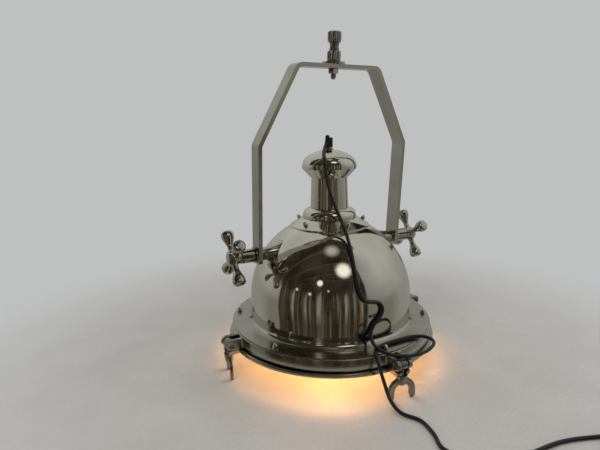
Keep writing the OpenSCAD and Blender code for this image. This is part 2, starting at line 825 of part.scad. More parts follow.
// The cap's outline from its neck up to its flat top, drawn in by an inset for its inside
function cap_outline(inset, top_r) = concat(
    [[cap_neck_r - inset, cap_z]],
    arc(shoulder_at, shoulder_z, cap_shoulder_r - inset, shoulder_from, cap_blend, 12),
    arc(0, cap_ball_z, cap_ball_r - inset, cap_blend + 3, acos(top_r / (cap_ball_r - inset)), 8),
    [[top_r, cap_ball_z + sqrt(pow(cap_ball_r - inset, 2) - pow(top_r, 2))]]);

module cap() {
    hole_r = holder_tube_r + seat_gap;
    spigot_r = tube_top_r + seat_gap;
    inside_top = cap_flat_z - tube_wall;
    color("gainsboro")
        rotate_extrude()
            polygon(concat(
                [[hole_r, cap_flat_z], [hole_r, inside_top]],
                backwards(cap_outline(tube_wall, cap_flat_r)),
                [[spigot_r, cap_z]],
                cap_outline(0, cap_flat_r)));
}

module gland() {
    flange_w = 1.5;
    flange_t = 2;
    color("silver")
        translate([0, 0, cap_flat_z])
            difference() {
                union() {
                    cylinder(r = gland_r + flange_w, h = flange_t);
                    cylinder(r = gland_r, h = gland_h);
                }
                translate([0, 0, -cut])
                    cylinder(r = holder_tube_r + seat_gap, h = cut + holder_tube_up + seat_gap);
                cylinder(r = holder_tube_bore, h = gland_h + cut);
            }
}

module gland_locknut() {
    nut_t = 5;
    nut_af = 2.8 * holder_tube_r;
    color("silver")
        translate([0, 0, cap_flat_z - tube_wall - seat_gap - nut_t])
            difference() {
                hex_bar(nut_af, nut_t);
                translate([0, 0, -cut]) cylinder(r = holder_tube_r + seat_gap, h = nut_t + 2 * cut);
            }
}

module holder_tube() {
    color("silver") flat_ring(holder_tube_r, holder_tube_bore, holder_tube_z, holder_tube_l);
}

module lamp_holder() {
    cone_h = 12;
    cone_in = 9;
    color("ivory")
        difference() {
            union() {
                translate([0, 0, holder_z]) cylinder(r = holder_r, h = holder_l - cone_h);
                translate([0, 0, holder_top - cone_h])
                    cylinder(r1 = holder_r, r2 = holder_r - cone_in, h = cone_h);
            }
            translate([0, 0, holder_z - cut]) cylinder(r = holder_bore, h = holder_socket + cut);
            translate([0, 0, holder_tube_z - seat_gap]) cylinder(r = holder_tube_r + seat_gap, h = holder_l);
            translate([0, 0, holder_z]) cylinder(r = holder_tube_bore, h = holder_l);
        }
}

module bulb_cap() {
    tip_h = 4;
    tip_r = 5;
    color("khaki")
        translate([0, 0, holder_z]) {
            cylinder(r = bulb_cap_r, h = bulb_cap_l - tip_h);
            translate([0, 0, bulb_cap_l - tip_h]) cylinder(r1 = bulb_cap_r, r2 = tip_r, h = tip_h);
        }
}

module bulb() {
    // The neck's cone touches the ball where its slope begins
    slope = 40;
    neck_from = bulb_r * sin(slope);
    color("lightyellow", 0.8) {
        translate([0, 0, bulb_z]) sphere(bulb_r);
        translate([0, 0, bulb_z + neck_from])
            cylinder(r1 = bulb_r * cos(slope), r2 = bulb_cap_r, h = holder_z - bulb_z - neck_from);
    }
}

module trunnion_boss(side) {
    root_x = boss_root_x + boss_lip;
    step = 1;
    bell = 2.2;
    swell = boss_root_r - step - boss_tip_r;
    curve = [for (i = [0:12]) let (s = i / 12)
        [boss_tip_r + swell * pow(1 - s, bell), root_x + (boss_tip_x - root_x) * s]];
    color("lightgray")
        difference() {
            on_trunnion(side)
                rotate_extrude()
                    difference() {
                        union() {
                            polygon(concat([[0, boss_root_x]], curve, [[0, boss_tip_x]]));
                            translate([0, boss_root_x - boss_lip]) square([boss_root_r, 2 * boss_lip]);
                        }
                        square([trunnion_r + seat_gap, 2 * boss_tip_x]);
                    }
            translate([0, 0, dome_z]) sphere(dome_r + seat_gap, $fn = 192);
        }
}

module trunnion_stud(side) {
    color("silver")
        on_trunnion(side) translate([0, 0, stud_in_x]) cylinder(r = trunnion_r, h = stud_out_x - stud_in_x);
}

module saddle_pads() {
    color("darkgray")
        for (side = [-1, 1])
            intersection() {
                on_trunnion(side)
                    translate([0, 0, pad_x])
                        difference() {
                            cylinder(r = pad_r, h = dome_r - pad_x);
                            translate([0, 0, -cut]) cylinder(r = trunnion_r + seat_gap, h = dome_r);
                        }
                translate([0, 0, dome_z]) sphere(dome_r - sheet_t - seat_gap, $fn = 192);
            }
}

module stud_nuts() {
    color("silver")
        for (side = [-1, 1])
            on_trunnion(side)
                translate([0, 0, pad_x - seat_gap - stud_nut_t])
                    difference() {
                        hex_bar(stud_nut_af, stud_nut_t);
                        translate([0, 0, -cut]) cylinder(r = trunnion_r + seat_gap, h = stud_nut_t + 2 * cut);
                    }
}

module clamp_washer(side) {
    color("silver") on_trunnion(side)
        flat_ring(clamp_washer_r, trunnion_r + run_gap, washer_x, clamp_washer_t);
}

module clamp_sleeve(side) {
    edge = 1.5;
    color("gainsboro")
        on_trunnion(side)
            translate([0, 0, sleeve_x])
                difference() {
                    union() {
                        cylinder(r1 = sleeve_r - edge, r2 = sleeve_r, h = edge);
                        translate([0, 0, edge]) cylinder(r = sleeve_r, h = sleeve_l - 2 * edge);
                        translate([0, 0, sleeve_l - edge])
                            cylinder(r1 = sleeve_r, r2 = sleeve_r - edge, h = edge);
                    }
                    translate([0, 0, -cut]) cylinder(r = trunnion_r + run_gap, h = sleeve_l + 2 * cut);
                }
}

// One arm along z, from inside the hub: a waisted stem that swells into a club with a blunt end
module handle_arm() {
    root_at = 2 * hub_r / 3;
    root_r = 1.3 * arm_waist_r;
    flare = 4;
    swell = [for (i = [0:8]) let (s = i / 8)
        [arm_waist_r + (lobe_r - arm_waist_r) * (1 - cos(180 * s)) / 2, waist_at + (lobe_at - waist_at) * s]];
    blunt = [for (i = [1:7]) let (a = 90 * i / 7) [lobe_r * cos(a), lobe_at + lobe_end * sin(a)]];
    rotate_extrude($fn = 48)
        polygon(concat(
            [[0, root_at], [root_r, root_at], [1.08 * arm_waist_r, waist_at - flare]], swell, blunt));
}

module cross_handle(side) {
    bore_r = trunnion_r + run_gap;
    bore_end = stud_out_x + end_gap;
    round = 4;
    turn = side < 0 ? handle_left_turn : handle_right_turn;
    color("gainsboro")
        union() {
            on_trunnion(side)
                rotate_extrude()
                    polygon(concat(
                        [[0, hub_x + hub_l], [0, bore_end], [bore_r, bore_end]],
                        [[bore_r, hub_x], [hub_r, hub_x]],
                        arc(hub_r - round, hub_x + hub_l - round, round, 0, 90, 6)));
            translate([side * arm_x, 0, trunnion_z])
                for (i = [0:3]) rotate([turn - 90 + 90 * i, 0, 0]) handle_arm();
        }
}

// The bar's edge from a leg's foot up to the top, seen from the front with the trunnion at the origin
function bar_edge(leg_x, r) = concat(
    [[leg_x, -leg_end]],
    arc(yoke_out - bend_out_r, yoke_bend_h - bend_low, r, 0, slope_turn, 6),
    arc(yoke_top_half - bend_high, yoke_top_h - bend_out_r, r, slope_turn, 90, 10));

// The whole bar's outline, up one side and down the other, then back along its inner edge
module bar_outline() {
    outer = bar_edge(yoke_out, bend_out_r);
    inner = bar_edge(yoke_in, bend_r);
    polygon(concat(
        outer, [for (p = backwards(outer)) [-p[0], p[1]]],
        [for (p = inner) [-p[0], p[1]]], backwards(inner)));
}

module yoke() {
    color("gainsboro")
        on_yoke()
            difference() {
                rotate([90, 0, 0])
                    linear_extrude(bar_w, center = true) bar_outline();
                for (side = [-1, 1]) {
                    rotate([0, 90 * side, 0]) cylinder(r = trunnion_r + run_gap, h = 2 * yoke_in);
                    for (edge = [-1, 1])
                        translate([side * yoke_in, edge * (bar_w / 2 - leg_round), leg_round - leg_end])
                            difference() {
                                translate([-1.5 * bar_t, edge > 0 ? 0 : -2 * leg_round, -2 * leg_round])
                                    cube([3 * bar_t, 2 * leg_round, 2 * leg_round]);
                                rotate([0, 90, 0]) cylinder(r = leg_round, h = 4 * bar_t, center = true);
                            }
                }
                translate([-hanger_off, 0, yoke_top_h - 2 * bar_t])
                    cylinder(r = hanger_r + seat_gap, h = 3 * bar_t);
            }
}

module hanger_washer() {
    color("silver")
        on_hanger()
            flat_ring(hanger_washer_r, hanger_r + seat_gap, yoke_top_h + seat_gap, hanger_washer_t - seat_gap);
}

module hanger_stud() {
    color("silver")
        on_hanger() {
            translate([0, 0, hanger_stud_low + hanger_r])
                cylinder(r = hanger_r, h = hanger_stud_top - hanger_stud_low - hanger_r);
            translate([0, 0, hanger_stud_low + hanger_r]) sphere(hanger_r);
        }
}

module hanger_hex_nut() {
    color("silver")
        on_hanger()
            translate([0, 0, hex_h - seat_gap])
                difference() {
                    hex_bar(hex_af, hex_t);
                    translate([0, 0, -cut]) cylinder(r = hanger_r + seat_gap, h = hex_t + 2 * cut);
                }
}

// A knurled bar with bevelled ends
module knurled(h) {
    edge = 1.2;
    bar_r = knurl_r + 0.1;
    star = [for (i = [0:2 * knurl_count - 1])
        let (a = 180 * i / knurl_count, r = knurl_r - (i % 2) * knurl_d) [r * cos(a), r * sin(a)]];
    intersection() {
        linear_extrude(h) polygon(star);
        union() {
            cylinder(r1 = bar_r - edge, r2 = bar_r, h = edge);
            translate([0, 0, edge]) cylinder(r = bar_r, h = h - 2 * edge);
            translate([0, 0, h - edge]) cylinder(r1 = bar_r, r2 = bar_r - edge, h = edge);
        }
    }
}

module lower_knurled_nut() {
    color("darkgray")
        on_hanger()
            translate([0, 0, hanger_washer_h + face_gap])
                difference() {
                    knurled(lower_nut_h);
                    translate([0, 0, -cut]) cylinder(r = hanger_r + run_gap, h = lower_nut_h + 2 * cut);
                }
}

module hanger_neck() {
    rib_h = neck_h / 6;
    groove = 0.8;
    color("gray")
        on_hanger()
            translate([0, 0, lower_nut_top + face_gap])
                difference() {
                    union() {
                        cylinder(r = neck_r - groove, h = neck_h);
                        for (i = [0:2])
                            translate([0, 0, rib_h * (2 * i + 0.5)]) cylinder(r = neck_r, h = rib_h);
                    }
                    translate([0, 0, -cut]) cylinder(r = hanger_r + seat_gap, h = neck_h + 2 * cut);
                }
}

module upper_knurled_nut() {
    bore_h = hanger_stud_top - neck_top + end_gap;
    color("darkgray")
        on_hanger()
            translate([0, 0, neck_top + face_gap])
                difference() {
                    knurled(upper_nut_h);
                    translate([0, 0, -cut]) cylinder(r = hanger_r + run_gap, h = bore_h + cut);
                    translate([0, 0, upper_nut_h - socket_depth])
                        cylinder(r = socket_wall_r, h = socket_depth + cut);
                }
}

module lamp_lead() {
    lead_in = 10;
    lead_z = holder_top - lead_in;
    color("black") translate([0, 0, lead_z]) cylinder(d = cord_d, h = gland_top - lead_z);
}

// Tape wound round the lead and the cord, and down the cord to where it comes free
module splice() {
    free = unit(CORD_ROUTE[1] - cord_exit);
    points = smooth(concat(TAPED_ROUTE, [cord_exit]), 4);
    n = len(points);
    thinning = 0.7;
    color("dimgray") {
        translate([0, 0, gland_top]) rotate([0, 0, splice_turn]) {
            for (side = [-1, 1]) translate([side * lead_shift, 0, 0]) cylinder(d = splice_t, h = splice_h);
            translate([-lead_shift, -splice_t / 2, 0]) cube([splice_w - splice_t, splice_t, splice_h]);
        }
        tube(points, [for (i = [0:n - 1]) cord_d / 2 + tape_t * (1 - thinning * i / (n - 1))],
            cord_sides, [0, 0, -1], free);
    }
}

module cord() {
    points = smooth(CORD_ROUTE, 2);
    color("black")
        tube(points, [for (p = points) cord_d / 2], cord_sides,
            unit(CORD_ROUTE[1] - cord_exit), [cos(coil_heading), sin(coil_heading), 0]);
}

// A place on the coil, a number of turns from its start
function coil_place(turn) =
    let (
        from_middle = abs(turn - coil_turns / 2),
        r = coil_r - coil_step * (coil_turns / 2 - from_middle),
        a = coil_heading + 90 - 360 * turn,
        climb = min(max((turn - coil_turns / 2) * 2 + 0.5, 0), 1)
    )
    coil_mid + [r * cos(a), r * sin(a), coil_step * climb];

coil_points = [for (i = [0:coil_turns * coil_steps]) coil_place(i / coil_steps)];
coil_own_gap = min([for (i = [0:len(coil_points) - 1], j = [i + coil_steps / 2:1:len(coil_points) - 1])
    norm(coil_points[i] - coil_points[j])]) - cord_d;
echo("Least gap of the coil to itself, mm:", coil_own_gap);

module cord_coil() {
    ahead = [cos(coil_heading), sin(coil_heading), 0];
    points = concat([cord_end], coil_points, [plug_at]);
    color("black") tube(points, [for (p = points) cord_d / 2], 6, ahead, -ahead);
}

// Children drawn at the plug: x runs from the cord's end to the tips of the pins
module at_plug() {
    translate(plug_at) rotate([0, 0, coil_heading + 180]) children();
}

module plug() {
    relief_wall = 1.2;
    color("black")
        at_plug() {
            rotate([0, 90, 0])
                cylinder(r1 = cord_d / 2 + relief_wall, r2 = plug_t / 3, h = plug_relief_l + cut);
            translate([plug_relief_l, 0, -plug_t / 2])
                linear_extrude(plug_t) {
                    translate([plug_corner, -plug_w / 2]) square([plug_l - plug_corner, plug_w]);
                    translate([0, plug_corner - plug_w / 2]) square([plug_l, plug_w - 2 * plug_corner]);
                    for (side = [-1, 1])
                        translate([plug_corner, side * (plug_w / 2 - plug_corner)]) circle(plug_corner);
                }
        }
}

module plug_pins() {
    color("silver")
        at_plug()
            for (side = [-1, 1])
                translate([plug_relief_l + plug_l, side * pin_spacing / 2, 0]) rotate([0, 90, 0]) {
                    cylinder(d = plug_pin_d, h = plug_pin_l - plug_pin_d / 2);
                    translate([0, 0, plug_pin_l - plug_pin_d / 2]) sphere(d = plug_pin_d, $fn = 24);
                }
}

dome();
rim_ring();
gasket();
glass();
bezel();
clevis_pins();
swing_bolt(CLAMPS[0][1]);  // swing_bolt_right
swing_bolt(CLAMPS[1][1]);  // swing_bolt_rear
swing_bolt(CLAMPS[2][1]);  // swing_bolt_left
swing_bolt(CLAMPS[3][1]);  // swing_bolt_front
wing_nut(CLAMPS[0][1]);  // wing_nut_right
wing_nut(CLAMPS[1][1]);  // wing_nut_rear
wing_nut(CLAMPS[2][1]);  // wing_nut_left
wing_nut(CLAMPS[3][1]);  // wing_nut_front
flange_studs();
flange_washers();
flange_nuts();
collar();
collar_studs();
collar_nuts();
chimney_tube();
cap();
gland();
gland_locknut();
holder_tube();
lamp_holder();
bulb_cap();
bulb();
trunnion_boss(-1);  // trunnion_boss_left
trunnion_boss(1);  // trunnion_boss_right
trunnion_stud(-1);  // trunnion_stud_left
trunnion_stud(1);  // trunnion_stud_right
saddle_pads();
stud_nuts();
clamp_washer(-1);  // clamp_washer_left
clamp_washer(1);  // clamp_washer_right
clamp_sleeve(-1);  // clamp_sleeve_left
clamp_sleeve(1);  // clamp_sleeve_right
cross_handle(-1);  // cross_handle_left
cross_handle(1);  // cross_handle_right
yoke();
hanger_washer();
hanger_stud();
hanger_hex_nut();
lower_knurled_nut();
hanger_neck();
upper_knurled_nut();
lamp_lead();
splice();
cord();
cord_coil();
plug();
plug_pins();
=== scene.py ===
"""Looks of the ship lamp: a polished cargo pendant that stands lit on its wing nuts, with its yoke up and its cord down."""

import itertools
import json
import math

import bmesh
import bpy
import numpy as np
from mathutils import Matrix, Vector


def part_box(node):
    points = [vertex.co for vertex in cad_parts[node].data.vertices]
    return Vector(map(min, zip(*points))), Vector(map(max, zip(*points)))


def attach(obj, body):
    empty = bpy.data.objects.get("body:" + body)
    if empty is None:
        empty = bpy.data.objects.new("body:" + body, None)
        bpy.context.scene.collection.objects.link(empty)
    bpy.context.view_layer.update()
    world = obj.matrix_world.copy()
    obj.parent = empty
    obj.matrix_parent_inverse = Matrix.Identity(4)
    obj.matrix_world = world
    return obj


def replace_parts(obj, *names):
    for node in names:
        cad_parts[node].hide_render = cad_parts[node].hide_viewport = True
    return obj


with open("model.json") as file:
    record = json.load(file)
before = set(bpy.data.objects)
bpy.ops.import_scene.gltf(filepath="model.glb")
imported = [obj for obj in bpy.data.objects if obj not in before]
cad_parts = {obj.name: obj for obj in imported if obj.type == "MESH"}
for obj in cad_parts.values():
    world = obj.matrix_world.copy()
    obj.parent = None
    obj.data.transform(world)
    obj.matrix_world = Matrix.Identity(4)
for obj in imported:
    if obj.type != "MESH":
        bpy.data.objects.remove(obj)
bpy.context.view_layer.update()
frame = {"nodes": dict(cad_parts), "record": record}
NODES = frame["nodes"]
MM = 0.001


def box(node):
    """A node's lowest and highest corners at rest, in mm."""
    low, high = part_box(node)
    return np.array(low) / MM, np.array(high) / MM


def middle(node):
    return sum(box(node)) / 2


# Camera
CAMERA_AT = (-0.425507, -0.737527, 0.427152)
CAMERA_HEADING = 26.150      # degrees clockwise from +Y
CAMERA_DOWN = 11.555
CAMERA_ROLL = -1.037
FOCAL_PX = 448.76
FRAME_PX = 600
SENSOR_MM = 36


def make_camera():
    data = bpy.data.cameras.new("camera")
    data.sensor_width = SENSOR_MM
    data.lens = FOCAL_PX * SENSOR_MM / FRAME_PX
    data.clip_start, data.clip_end = 0.01, 50
    camera = bpy.data.objects.new("camera", data)
    bpy.context.scene.collection.objects.link(camera)
    turn = math.radians
    camera.matrix_world = (Matrix.Translation(CAMERA_AT) @ Matrix.Rotation(turn(-CAMERA_HEADING), 4, "Z")
                           @ Matrix.Rotation(turn(90 - CAMERA_DOWN), 4, "X") @ Matrix.Rotation(turn(CAMERA_ROLL), 4, "Z"))
    bpy.context.scene.camera = camera


make_camera()


# Node trees
def filled(value):
    """A colour of three numbers with its alpha, and any other value as it is."""
    return (*value, 1.0) if isinstance(value, tuple) and len(value) == 3 else value


class Graph:
    """The node tree of a material or of the world, built a node at a time."""

    def __init__(self, owner):
        owner.use_nodes = True
        self.owner = owner
        self.tree = owner.node_tree
        self.tree.nodes.clear()
        self.place = self.add("TexCoord").outputs["Object"]

    def add(self, kind, inputs=None, **settings):
        node = self.tree.nodes.new("ShaderNode" + kind)
        for key, value in settings.items():
            setattr(node, key, value)
        for key, value in (inputs or {}).items():
            if isinstance(value, bpy.types.NodeSocket):
                self.tree.links.new(value, node.inputs[key])
            else:
                node.inputs[key].default_value = value
        return node

    def noise(self, scale, detail=3.0, distortion=0.0, vector=None, rough=0.5):
        return self.add("TexNoise", {"Vector": vector or self.place, "Scale": scale, "Detail": detail,
                                     "Distortion": distortion, "Roughness": rough}).outputs["Fac"]

    def stretch(self, scale, turn=(0, 0, 0), vector=None):
        return self.add("Mapping", {"Vector": vector or self.place, "Rotation": turn, "Scale": scale}).outputs["Vector"]

    def math(self, operation, a, b=0.0, c=0.0, clamp=False):
        return self.add("Math", {0: a, 1: b, 2: c}, operation=operation, use_clamp=clamp).outputs[0]

    def dot(self, vector, way):
        return self.add("VectorMath", {0: vector, 1: way}, operation="DOT_PRODUCT").outputs["Value"]

    def span(self, value, low, high, to_low=0.0, to_high=1.0, smooth=False):
        return self.add("MapRange", {"Value": value, "From Min": low, "From Max": high, "To Min": to_low,
                                     "To Max": to_high}, clamp=True,
                        interpolation_type="SMOOTHSTEP" if smooth else "LINEAR").outputs["Result"]

    def mix(self, share, a, b):
        return self.add("Mix", {0: share, 6: filled(a), 7: filled(b)}, data_type="RGBA").outputs[2]

    def bump(self, height, distance, strength=1.0, below=None):
        inputs = {"Height": height, "Distance": distance, "Strength": strength}
        if below:
            inputs["Normal"] = below
        return self.add("Bump", inputs).outputs["Normal"]

    def from_axis(self):
        """Distance from the lamp's axis, and height."""
        xyz = self.add("SeparateXYZ", {0: self.place})
        flat = self.math("ADD", self.math("MULTIPLY", xyz.outputs[0], xyz.outputs[0]),
                         self.math("MULTIPLY", xyz.outputs[1], xyz.outputs[1]))
        return self.math("SQRT", flat), xyz.outputs[2]

    def blend(self, share, first, second):
        return self.add("MixShader", {0: share, 1: first.outputs[0], 2: second.outputs[0]})

    def surface(self, inputs):
        self.finish(self.add("BsdfPrincipled", {key: filled(value) for key, value in inputs.items()}))
        return self.owner

    def finish(self, shader):
        kind = "OutputWorld" if isinstance(self.owner, bpy.types.World) else "OutputMaterial"
        self.tree.links.new(shader.outputs[0], self.add(kind).inputs["Surface"])


# Materials
CAST_LIGHT, CAST_DARK = (0.40, 0.38, 0.33), (0.20, 0.185, 0.155)
RIM_TOP = 0.075


def scratches(g, along, across, turn, low, high):
    """Thin lines: noise drawn out along one axis, cut to its peaks."""
    return g.span(g.noise(1.0, 2.0, 0.4, g.stretch((across, along, across), turn)), low, high)


def metal(name, light, dark, rough, spread, wave=0.0, lines=0.0, grain=0.0, painted_shade=0.0, spun=False, cast_from=None,
          painted_edge_light=None, satin_and_shade_from=None, hair_depth=0.00002):
    """Plated or bare metal: patches of tone, finger smudges, fine scratches, marks of the lathe or polishing wheel,
    grain of a casting, and painted shade where faces meet: a near-black tone where ambient occlusion finds faces
    close by, broken up by noise. Past the radius cast_from the metal is a duller, pitted casting.
    The tone for the strip's cut edges, which face along y, is painted light: lighter than the faces, so that their
    reflection of the dim room shows brighter. Past the radius given for the satin, near the rim's height, the metal is
    turned to a rougher satin with a darker tone: the roughness is the finish, the darker tone painted shade."""
    g = Graph(bpy.data.materials.new(name))
    patches = g.noise(11, 3, 0.6)
    smudge = g.span(g.noise(46, 5, 1.6), 0.5, 0.72)
    hairs = g.math("MAXIMUM", scratches(g, 9, 620, (0.3, 0.9, 0.5), 0.66, 0.74),
                   scratches(g, 12, 540, (1.2, 0.2, -0.7), 0.67, 0.75))
    colour = g.mix(g.span(patches, 0.3, 0.7), light, dark)
    # Painted light: faces along y, the cut edges, take their own lighter tone, which brightens their reflection of the
    # dim room.
    if painted_edge_light:
        facing = g.math("ABSOLUTE", g.dot(g.add("TexCoord").outputs["Normal"], (0, 1, 0)))
        colour = g.mix(g.span(facing, 0.75, 0.97, smooth=True), colour, painted_edge_light)
    roughness = g.math("ADD", rough, g.math("MULTIPLY", smudge, spread))
    roughness = g.math("ADD", roughness, g.math("MULTIPLY", hairs, 0.12))
    normal = g.bump(g.noise(21, 1.5), wave) if wave else None
    if lines:
        if spun:
            distance, height = g.from_axis()
            lathe_marks = g.add("CombineXYZ", {0: g.math("MULTIPLY", distance, 2600),
                                               1: g.math("MULTIPLY", height, 2600)})
            marks = g.noise(1.0, 1.0, 0, lathe_marks.outputs[0])
        else:
            marks = g.noise(1.0, 2.0, 0.2, g.stretch((900, 60, 900), (0.2, 0.1, 0.4)))
        normal = g.bump(marks, lines, 1.0, normal)
        roughness = g.math("ADD", roughness, g.math("MULTIPLY", g.span(marks, 0.55, 0.8), 0.08))
    # Partly painted shade: past the radius, near the rim's height, the flange is rougher, a real satin, and darker, a
    # painted shade.
    if satin_and_shade_from:
        distance, height = g.from_axis()
        flat = g.math("MULTIPLY", g.span(distance, satin_and_shade_from - 0.001, satin_and_shade_from + 0.001),
                      g.span(height, RIM_TOP + 0.004, RIM_TOP + 0.001))
        colour = g.mix(flat, colour, g.mix(g.span(patches, 0.3, 0.7), (0.45, 0.43, 0.365), (0.36, 0.345, 0.29)))
        roughness = g.math("ADD", roughness, g.math("MULTIPLY", flat, 0.16))
    if grain:
        share = g.span(g.from_axis()[0], cast_from, cast_from + 0.004, smooth=True) if cast_from else 1.0
        rough_skin = g.math("ADD", g.noise(420, 5, 0.3), g.math("MULTIPLY", g.noise(95, 3), 0.8))
        pits = g.span(g.add("TexVoronoi", {"Vector": g.place, "Scale": 520.0}).outputs["Distance"], 0.05, 0.22)
        skin = g.math("ADD", rough_skin, g.math("MULTIPLY", pits, 0.6))
        normal = g.bump(g.math("MULTIPLY", skin, share), grain, 1.0, normal)
        if cast_from:
            colour = g.mix(share, colour, g.mix(g.span(g.noise(60, 4), 0.35, 0.65), CAST_LIGHT, CAST_DARK))
            roughness = g.math("ADD", roughness, g.math("MULTIPLY", share, 0.12))
    normal = g.bump(hairs, -hair_depth, 1.0, normal)
    # Painted shade: where ambient occlusion finds faces close by, the colour darkens towards near black, broken up by
    # noise; the roughness rises there too.
    if painted_shade:
        near = g.add("AmbientOcclusion", {"Distance": 0.006}, samples=6).outputs["AO"]
        crevice_shade = g.math("MULTIPLY", g.span(near, 0.75, 0.3), g.span(g.noise(130, 4), 0.3, 0.62, 0.35, 1.0))
        crevice_shade = g.math("MULTIPLY", crevice_shade, painted_shade)
        colour = g.mix(crevice_shade, colour, (0.035, 0.028, 0.02))
        roughness = g.math("ADD", roughness, g.math("MULTIPLY", crevice_shade, 0.4), clamp=True)
    return g.surface({"Base Color": colour, "Metallic": 1.0, "Roughness": roughness, "Normal": normal})


def rubber(name, colour, worn, rough, sheen, dust):
    """Black sheath or seal: dull, with pale dust where it faces up, rubbed patches and a fine moulded grain."""
    g = Graph(bpy.data.materials.new(name))
    rubbed = g.span(g.noise(70, 4, 0.8), 0.45, 0.7)
    speck = g.span(g.noise(900, 2), 0.62, 0.75)
    up = g.span(g.add("SeparateXYZ", {0: g.add("NewGeometry").outputs["Normal"]}).outputs[2], 0.2, 1.0)
    lying = g.math("MULTIPLY", up, g.math("ADD", g.math("MULTIPLY", speck, 0.6), g.math("MULTIPLY", rubbed, 0.4)))
    tone = g.mix(rubbed, colour, worn)
    tone = g.mix(g.math("MULTIPLY", lying, dust), tone, (0.30, 0.28, 0.25))
    roughness = g.span(g.noise(240, 3), 0.3, 0.7, rough - 0.08, rough + 0.1)
    normal = g.bump(g.noise(1500, 3), 0.00006)
    normal = g.bump(g.noise(160, 2), 0.00012, 1.0, normal)
    return g.surface({"Base Color": tone, "Roughness": roughness, "Normal": normal, "Sheen Weight": sheen,
                      "Sheen Roughness": 0.4})


def glass():
    """Clear front glass: lets shadow rays through, so that the bulb lights the table."""
    g = Graph(bpy.data.materials.new("front_glass"))
    smear = g.span(g.noise(38, 5, 2.0), 0.5, 0.8)
    shader = g.add("BsdfPrincipled", {"Base Color": (0.95, 0.98, 0.97, 1), "Transmission Weight": 1.0, "IOR": 1.5,
                                      "Roughness": g.span(smear, 0, 1, 0.02, 0.16),
                                      "Normal": g.bump(g.noise(30, 2), 0.0002)})
    clear = g.add("BsdfTransparent", {"Color": (0.93, 0.95, 0.94, 1)})
    g.finish(g.blend(g.add("LightPath").outputs["Is Shadow Ray"], shader, clear))
    return g.owner


def lit_glass():
    """Frosted bulb, lit warm: hottest about its middle, dimmer at the neck, with a faint grain in the frosting."""
    g = Graph(bpy.data.materials.new("bulb_glass"))
    height = g.add("SeparateXYZ", {0: g.place}).outputs[2]
    low = g.span(height, 0.150, 0.200, 1.0, 0.25, smooth=True)
    frost = g.span(g.noise(420, 3), 0.3, 0.7, 0.9, 1.05)
    return g.surface({"Base Color": (0.93, 0.86, 0.74), "Roughness": g.span(g.noise(300, 3), 0.3, 0.7, 0.35, 0.5),
                      "Emission Color": g.mix(low, (1.0, 0.40, 0.12), (1.0, 0.62, 0.30)),
                      "Emission Strength": g.math("MULTIPLY", g.math("MULTIPLY", low, frost), 3.2),
                      "Normal": g.bump(g.noise(700, 2), 0.00005)})


def ceramic():
    """Glazed porcelain: cream, with tea-coloured clouds, a few iron specks and a slightly uneven glaze."""
    g = Graph(bpy.data.materials.new("holder_ceramic"))
    tone = g.mix(g.span(g.noise(26, 4, 1.0), 0.35, 0.7), (0.80, 0.77, 0.70), (0.70, 0.65, 0.56))
    tone = g.mix(g.math("MULTIPLY", g.span(g.noise(650, 2), 0.7, 0.76), 0.5), tone, (0.20, 0.15, 0.10))
    return g.surface({"Base Color": tone, "Roughness": g.span(g.noise(90, 3), 0.3, 0.7, 0.12, 0.3), "Coat Weight": 0.6,
                      "Coat Roughness": 0.08, "Normal": g.bump(g.noise(85, 3), 0.00025)})


